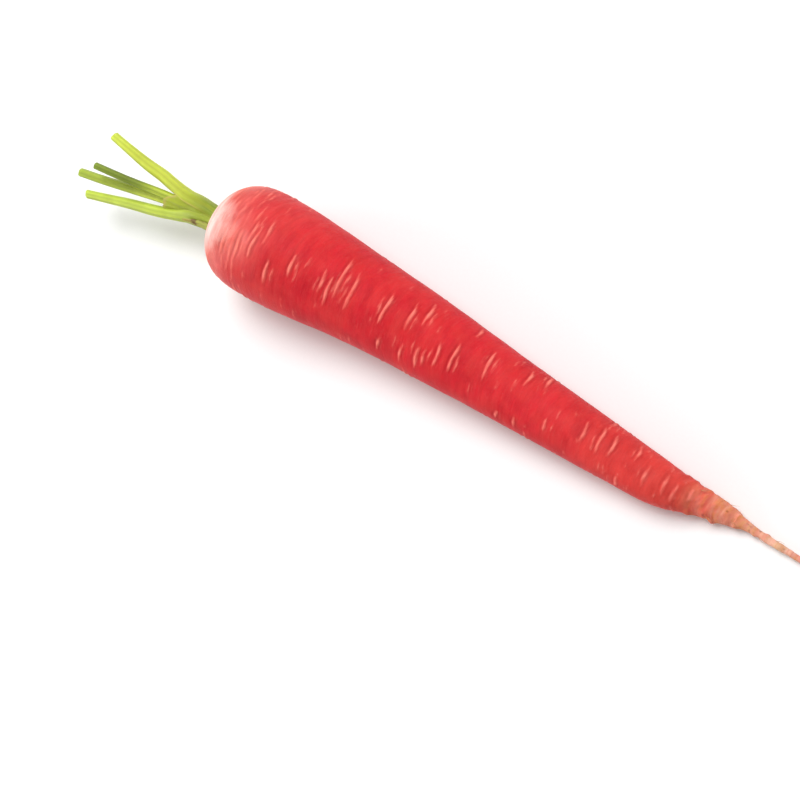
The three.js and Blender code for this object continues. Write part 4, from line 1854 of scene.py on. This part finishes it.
@dataclass
class NeckSheath:
    """The membrane between the two clasping stalks, which the slim stalks come out of.

    Its long edges run into the clasping stalks below their margins. Its free edge is the neck's mouth.

    Attributes:
        mouth: (share of the way from the outer stalk to the lower one, distance of the free edge).
        tuck: How far it runs on beyond the margins, in degrees round the neck's axis.
        drop: How far it lies below the margins.
        lift: How far it stands off the slim stalks.
        sunk: How deep it reaches into the crown.
        rib_count: How many ribs there would be on a full circle.
        sharpness: How closely it follows the furthest of what it covers. A low one rounds the hollows more.
        shows_no_end: A distance from any cut end at which none of the tip's colour shows.
    """

    mouth: Pairs = ((0, 19.0), (0.15, 19.8), (0.4, 23.0), (0.75, 24.4), (1, 25.0))
    tuck: float = 10.0
    drop: float = 0.3
    lift: float = 0.14
    thickness: float = 0.24
    sunk: float = 1.6
    rib_count: int = 13
    rib_height: float = 0.1
    sharpness: int = 24
    shows_no_end: float = 30.0
    slot: Slot = Slot.YELLOW_GREEN
    finish: StalkFinish = StalkFinish(
        name="neck_sheath",
        foot=srgb(126, 144, 34),
        shaft=srgb(184, 198, 62),
        furrow=srgb(140, 144, 38),
        margin=srgb(206, 176, 116),
        tip=srgb(186, 200, 66),
        foot_zone=(4.0, 26.0),
    )

    def build(self, stalks: list[LeafStalk], site: Site) -> None:
        """Lay a sheet from one clasping stalk over the slim ones to the other, thicken it and dress it.

        Args:
            stalks: The neck's stalks: two clasping ones, of which it starts at the first, and slim ones.
            site: What it is built on.
        """
        neck = site.neck
        outer, lower = (stalk for stalk in stalks if isinstance(stalk, SheathingStalk))
        slim = [stalk for stalk in stalks if isinstance(stalk, SlimStalk)]
        piece, lengthwise, crosswise = add_sheet("neck_sheath", along=90, across=80)
        across = (crosswise + 1) / 2
        mouth = SmoothCurve(self.mouth)(across) + 0.2 * np.sin(across * 17) + 0.12 * np.sin(across * 43)
        distance = between(-self.sunk, mouth, (lengthwise + 1) / 2)
        first, first_radius = outer.margin_at(neck, distance, 1)
        last, last_radius = lower.margin_at(neck, distance, -1)
        tuck = math.radians(self.tuck)
        angle = between(first - tuck, last + tuck, across)
        covered = [stalk.reach_at(neck, distance, angle) + self.lift for stalk in slim]
        reach = np.array([between(first_radius, last_radius, across) - self.drop, *covered])
        ribs = ridges(self.rib_count * angle + 0.6 * np.sin(distance * 0.2))
        radius = (reach**self.sharpness).sum(axis=0) ** (1 / self.sharpness) + self.rib_height * ribs
        move_to(piece, site.ground.in_frame(neck.around(distance, radius, angle)))
        paint(
            piece,
            lay=np.stack([distance, radius, angle * radius], axis=-1) * MM,
            reach=distance,
            end=np.full(len(distance), self.shows_no_end),
            rib=ribs,
            margin=0.8 * smoothstep(distance, mouth - 1.8, mouth - 0.1),
            cut=np.zeros(len(distance)),
        )
        thicken(piece, self.thickness)
        self.finish.dress(piece, site.effects)
        settle(piece, self.slot)


@dataclass
class DriedFlake:
    """A papery scrap of an old leaf's sheath, standing along the neck.

    Attributes:
        faces: The side of the neck that it clings to, in degrees from +Y towards +Z.
        width: Its width at its foot and at its tip.
        narrows_from: The distance where it begins to narrow.
        outward: (distance from the crown, distance out from the neck's axis).
        sunk: How deep it reaches into the crown.
        ragged_zone: Where its edges turn ragged.
        curled_zone: Where it begins to curl.
        pointed_from: The distance from which on its edges are drawn back towards the crown.
        brown_edge: Where the brown of its edges gives out.
        dead_spot: The distance of the brown spot's middle, and the spot's width.
    """

    faces: float = 147.0
    width: tuple[float, float] = (4.0, 0.8)
    narrows_from: float = 3.0
    outward: Pairs = ((0, 4.85), (4, 4.95), (8, 5.2), (11, 5.8), (13.5, 6.7))
    thickness: float = 0.26
    sunk: float = 1.6
    ragged_zone: Zone = (3.0, 8.0)
    curled_zone: Zone = (4.0, 10.0)
    pointed_from: float = 9.0
    brown_edge: Zone = (10.0, 12.5)
    dead_spot: tuple[float, float] = (9.0, 1.5)
    finish: DriedFinish = DriedFinish()

    def build(self, site: Site) -> None:
        """Bend a sheet round the neck, curl its tip, thicken it and dress it.

        Args:
            site: What it is built on.
        """
        piece, lengthwise, sweep = add_sheet("dried_flake", along=36, across=12)
        length = self.outward[-1][0]
        distance = between(-self.sunk, length, (lengthwise + 1) / 2)
        ragged = 1 + 0.12 * np.sin(distance * 2.3 + sweep * 2) * smoothstep(distance, *self.ragged_zone)
        half = between(*self.width, smoothstep(distance, self.narrows_from, length)) / 2 * ragged
        out = SmoothCurve(self.outward)(distance)
        curl = 0.2 * np.sin(sweep * 5 + distance * 0.35) * smoothstep(distance, *self.curled_zone)
        drawn_back = 0.5 * sweep**2 * smoothstep(distance, self.pointed_from, length)
        angle = math.radians(self.faces) + sweep * half / out
        spot, spot_width = self.dead_spot
        places = site.neck.around(distance - drawn_back, out + curl, angle)
        move_to(piece, site.ground.in_frame(places))
        paint(
            piece,
            lay=np.stack([distance, sweep * half, curl], axis=-1) * MM,
            reach=distance,
            margin=smoothstep(np.abs(sweep), 0.6, 1.0) * (1 - smoothstep(distance, *self.brown_edge)),
            dead=bell(distance - spot, spot_width),
        )
        thicken(piece, self.thickness)
        self.finish.dress(piece, site.effects)
        settle(piece, Slot.DRIED, Node.DRIED_SHEATH)


@dataclass
class RootHairs:
    """Thin side roots near the tip and along the tail.

    Attributes:
        sprouts: (distance, degrees from the top towards +Y, length, thickness).
        lean: How far the hairs lean towards the tail, in degrees.
        rooted: How deep each starts below the skin.
        tail_gap: How far they stay short of the tail's end.
    """

    sprouts: Rows = (
        (200, 40, 4.5, 0.2), (205.5, -60, 4, 0.2), (209, 85, 3.5, 0.18), (213, -30, 4, 0.2),
        (217, 25, 4.5, 0.2), (222.5, -75, 4, 0.18), (228, 60, 4, 0.18), (233, -40, 3.5, 0.16),
        (240, 35, 4, 0.16), (247, -65, 3.5, 0.14), (253, 50, 3, 0.14), (258, -20, 2.5, 0.12),
    )
    lean: float = 62.0
    rooted: float = 0.3
    tail_gap: float = 0.4
    sides: int = 6
    cuts: tuple[int, ...] = (13,)
    finish: HairFinish = HairFinish()

    def build(self, site: Site) -> None:
        """Sprout each hair from the root's skin and join them in one piece.

        Args:
            site: What it is built on.
        """
        hairs = [self._hair(number, site) for number in range(len(self.sprouts))]
        piece = hairs[0]
        take(piece)
        for hair in hairs:
            hair.select_set(True)
        bpy.ops.object.join()
        piece.name = "root_hairs"
        face_outwards(piece)
        self.finish.dress(piece, site.effects)
        settle(piece, Slot.SKIN)

    def _hair(self, number: int, site: Site) -> Piece:
        """Grow one hair, thinning from the skin outwards and bending towards the tail.

        Args:
            number: Which of the sprouts it is.
            site: What it is built on.

        Returns:
            The hair.
        """
        root = site.root
        distance, degrees, length, thick = self.sprouts[number]
        blank = Blank.turn(f"hair_{number}", thick / 2, length, self.sides, self.cuts, Ends.FACE)
        share = np.linspace(0, 1, blank.rings)
        lean = math.radians(self.lean)
        angle = math.radians(degrees) + share * draw_within(number + 11, 0.25)
        sway = 0.25 * np.sin(share * 5 + 6 * draw(number + 21))
        out = float(root.taper_at(distance)) - self.rooted
        out = out + length * share * math.cos(lean) * (1 - 0.35 * share)
        x = np.minimum(distance + length * share * math.sin(lean), root.length - self.tail_gap)
        y = float(root.drift_at(distance)) + out * np.sin(angle) + sway * share
        z = np.maximum(float(root.height_at(np.array(distance))) + out * np.cos(angle), thick)
        centre = np.stack([x, y, z], axis=-1)
        side, up = directions_across(np.gradient(centre, axis=0))
        radius = (thick / 2 * (1 - 0.75 * share))[:, None, None]
        turn = full_circle(blank.sides)[None, :, None]
        grid = centre[:, None] + radius * (np.sin(turn) * side[:, None] + np.cos(turn) * up[:, None])
        move_to(blank.piece, site.ground.in_frame(blank.spread(grid)))
        return blank.piece


# ---- studio


@dataclass(frozen=True)
class SoftLight:
    """A square soft light aimed at the carrot's middle.

    Attributes:
        towards: The direction from the carrot to the light.
        distance: How far away it stands, in metres.
        size: The length of its side, in metres.
        power: Its power in watts.
    """

    name: str
    towards: Triple
    distance: float
    size: float
    power: float

    def place(self) -> None:
        """Add the light."""
        direction = Vector(self.towards).normalized()
        begin_alone()
        bpy.ops.object.light_add(type="AREA", location=direction * self.distance)
        light = bpy.context.active_object
        light.name = self.name
        light.rotation_euler = (-direction).to_track_quat("-Z", "Y").to_euler()
        light.data.shape = "SQUARE"
        light.data.size = self.size
        light.data.energy = self.power
        light.visible_camera = False


@dataclass
class Studio:
    """The floor, the soft lights and the camera.

    Attributes:
        azimuth: The direction that the camera looks from, in degrees from -Y towards +X.
        elevation: How high over the floor it looks from, in degrees.
        roll: How far the camera is turned about its own line of sight, in degrees.
        distance: How far it stands from its aim.
        aim: The point of the floor that it looks at.
        near_clip: The nearest that it sees, in metres.
        floor_radius: The floor's radius in metres.
        surroundings: The strength of the white light from all round.
    """

    azimuth: float = 90.0
    elevation: float = 60.0
    roll: float = -59.6
    lens: float = 120.0
    distance: float = 896.3
    aim: Triple = (-13.63, -22.62, 0.0)
    near_clip: float = 0.01
    floor_radius: float = 6.0
    floor_finish: PaperFinish = PaperFinish()
    surroundings: float = 0.37
    lights: tuple[SoftLight, ...] = (
        SoftLight("key_light", (-0.2, 0.26, 1.0), distance=1.6, size=1.1, power=23.2),
        SoftLight("crown_light", (-1.0, -0.6, 0.36), distance=1.6, size=0.9, power=12.5),
        SoftLight("side_light", (-0.4, 0.9, 0.3), distance=1.4, size=0.8, power=2.4),
    )

    def build(self, effects: Effects) -> None:
        """Set up the floor, the surroundings, the lights and the camera.

        Args:
            effects: The shared effects.
        """
        bpy.context.scene.view_settings.view_transform = "Standard"
        self._floor(effects)
        self._surround()
        for light in self.lights:
            light.place()
        self._camera()

    def _floor(self, effects: Effects) -> None:
        """Lay the pale floor.

        Args:
            effects: The shared effects.
        """
        begin_alone()
        bpy.ops.mesh.primitive_circle_add(vertices=96, radius=self.floor_radius, fill_type="NGON")
        floor = bpy.context.active_object
        floor.name = "floor"
        self.floor_finish.dress(floor, effects)

    def _surround(self) -> None:
        """Light the scene from all round with white."""
        world = bpy.data.worlds.new("white_surroundings")
        world.use_nodes = True
        background = world.node_tree.nodes["Background"]
        background.inputs["Color"].default_value = (1.0, 1.0, 1.0, 1.0)
        background.inputs["Strength"].default_value = self.surroundings
        bpy.context.scene.world = world

    def _camera(self) -> None:
        """Place the camera by its angles, its distance and the point that it looks at."""
        azimuth, elevation = math.radians(self.azimuth), math.radians(self.elevation)
        level = math.cos(elevation)
        back = Vector((math.sin(azimuth) * level, -math.cos(azimuth) * level, math.sin(elevation)))
        turned = (-back).to_track_quat("-Z", "Y") @ Quaternion((0.0, 0.0, 1.0), math.radians(self.roll))
        begin_alone()
        place = (Vector(self.aim) + back * self.distance) * MM
        bpy.ops.object.camera_add(location=place, rotation=turned.to_euler())
        camera = bpy.context.active_object
        camera.name = "camera"
        camera.data.lens = self.lens
        camera.data.clip_start = self.near_clip
        bpy.context.scene.camera = camera


# ---- the carrot


def leaf_stalks() -> list[LeafStalk]:
    """Return the four cut stalks, with their sizes and colouring.

    Returns:
        The stalks.
    """
    return [
        SheathingStalk(
            node=Node.STALK_OUTER,
            slot=Slot.YELLOW_GREEN,
            finish=StalkFinish(
                name="stalk_yellow_green", foot_zone=(5.0, 24.0),
                foot=srgb(108, 130, 24), shaft=srgb(202, 214, 70), furrow=srgb(140, 142, 36),
                margin=srgb(206, 186, 104), tip=srgb(216, 232, 84),
            ),
            route=(
                (0, 0, 0), (-5, 0, 0.2), (-10, 0, 0.8), (-15.5, 0.4, 2), (-19, 1.3, 2.9), (-24, 2.7, 4.2),
                (-28, 3.5, 4.9), (-35.5, 4.3, 6.2), (-47, 6.2, 8), (-53, 7.3, 9),
            ),
            faces=8,
            sheath=(9, 27),
            width=(5.4, 3.9),
        ),
        SheathingStalk(
            node=Node.STALK_LOWER,
            slot=Slot.PALE_GREEN,
            finish=StalkFinish(
                name="stalk_pale_green", foot_zone=(5.0, 30.0),
                foot=srgb(132, 146, 38), shaft=srgb(202, 220, 84), furrow=srgb(134, 148, 44),
                margin=srgb(202, 198, 112), tip=srgb(212, 230, 90),
            ),
            route=(
                (0, 0, 0), (-5, 0, 0), (-10, -0.5, -0.2), (-15, -1.9, -0.7), (-19, -3.9, -1.1),
                (-24, -5.9, -1.4), (-30, -7.4, -1.7), (-40, -9.5, -2.1), (-49.5, -11.8, -2.5),
                (-59.5, -14.2, -2.9),
            ),
            faces=184,
            sheath=(8, 26),
            width=(4.9, 3.8),
        ),
        SlimStalk(
            node=Node.STALK_DARK,
            slot=Slot.DARK_GREEN,
            finish=StalkFinish(
                name="stalk_dark_green", foot_zone=(24.0, 38.0),
                # The foot is partly painted light: much brighter than the shaft, it lifts the sheath's shade
                # where the stalk leaves the mouth.
                foot=srgb(216, 232, 84), shaft=srgb(124, 140, 42), furrow=srgb(74, 88, 26),
                margin=srgb(180, 176, 110), tip=srgb(138, 158, 52),
            ),
            route=(
                (0, 0.1, 1.35), (-6, 0, 1.5), (-14, -0.4, 2.8), (-24.5, -1.4, 5), (-40, -3.4, 7.3),
                (-53.5, -4.7, 9.4),
            ),
            radius=((0, 1.1), (21, 1.4), (38, 1.32), (55, 1.24)),
        ),
        SlimStalk(
            node=Node.STALK_MIDDLE,
            slot=Slot.GREEN,
            finish=StalkFinish(
                name="stalk_green", foot_zone=(26.0, 46.0),
                # The foot is partly painted light: much brighter than the shaft, it lifts the sheath's shade
                # where the stalk leaves the mouth.
                foot=srgb(234, 246, 98), shaft=srgb(168, 184, 64), furrow=srgb(118, 130, 42),
                margin=srgb(186, 184, 112), tip=srgb(182, 202, 74),
            ),
            route=(
                (0, -0.1, -1.35), (-6, -0.2, -1.35), (-14, -0.8, -0.9), (-27, -2.7, 0.6), (-39, -5, 1.3),
                (-54, -7.8, 2.3), (-62.8, -9.2, 2.8),
            ),
            radius=((0, 1.2), (21, 1.75), (40, 1.66), (64, 1.55)),
        ),
    ]


def main() -> None:
    """Load the frame, build every piece of the carrot on it and set up the studio."""
    logging.basicConfig(level=logging.INFO, format="%(name)s: %(message)s")
    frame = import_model()
    effects = Effects()
    Studio().build(effects)
    root = Taproot()
    site = Site(root, Neck.on(root), Ground.from_frame(frame, root.length), effects)
    root.build(site)
    stalks = leaf_stalks()
    for stalk in stalks:
        stalk.build(site)
    NeckSheath().build(stalks, site)
    DriedFlake().build(site)
    RootHairs().build(site)


if __name__ == "__main__":
    main()
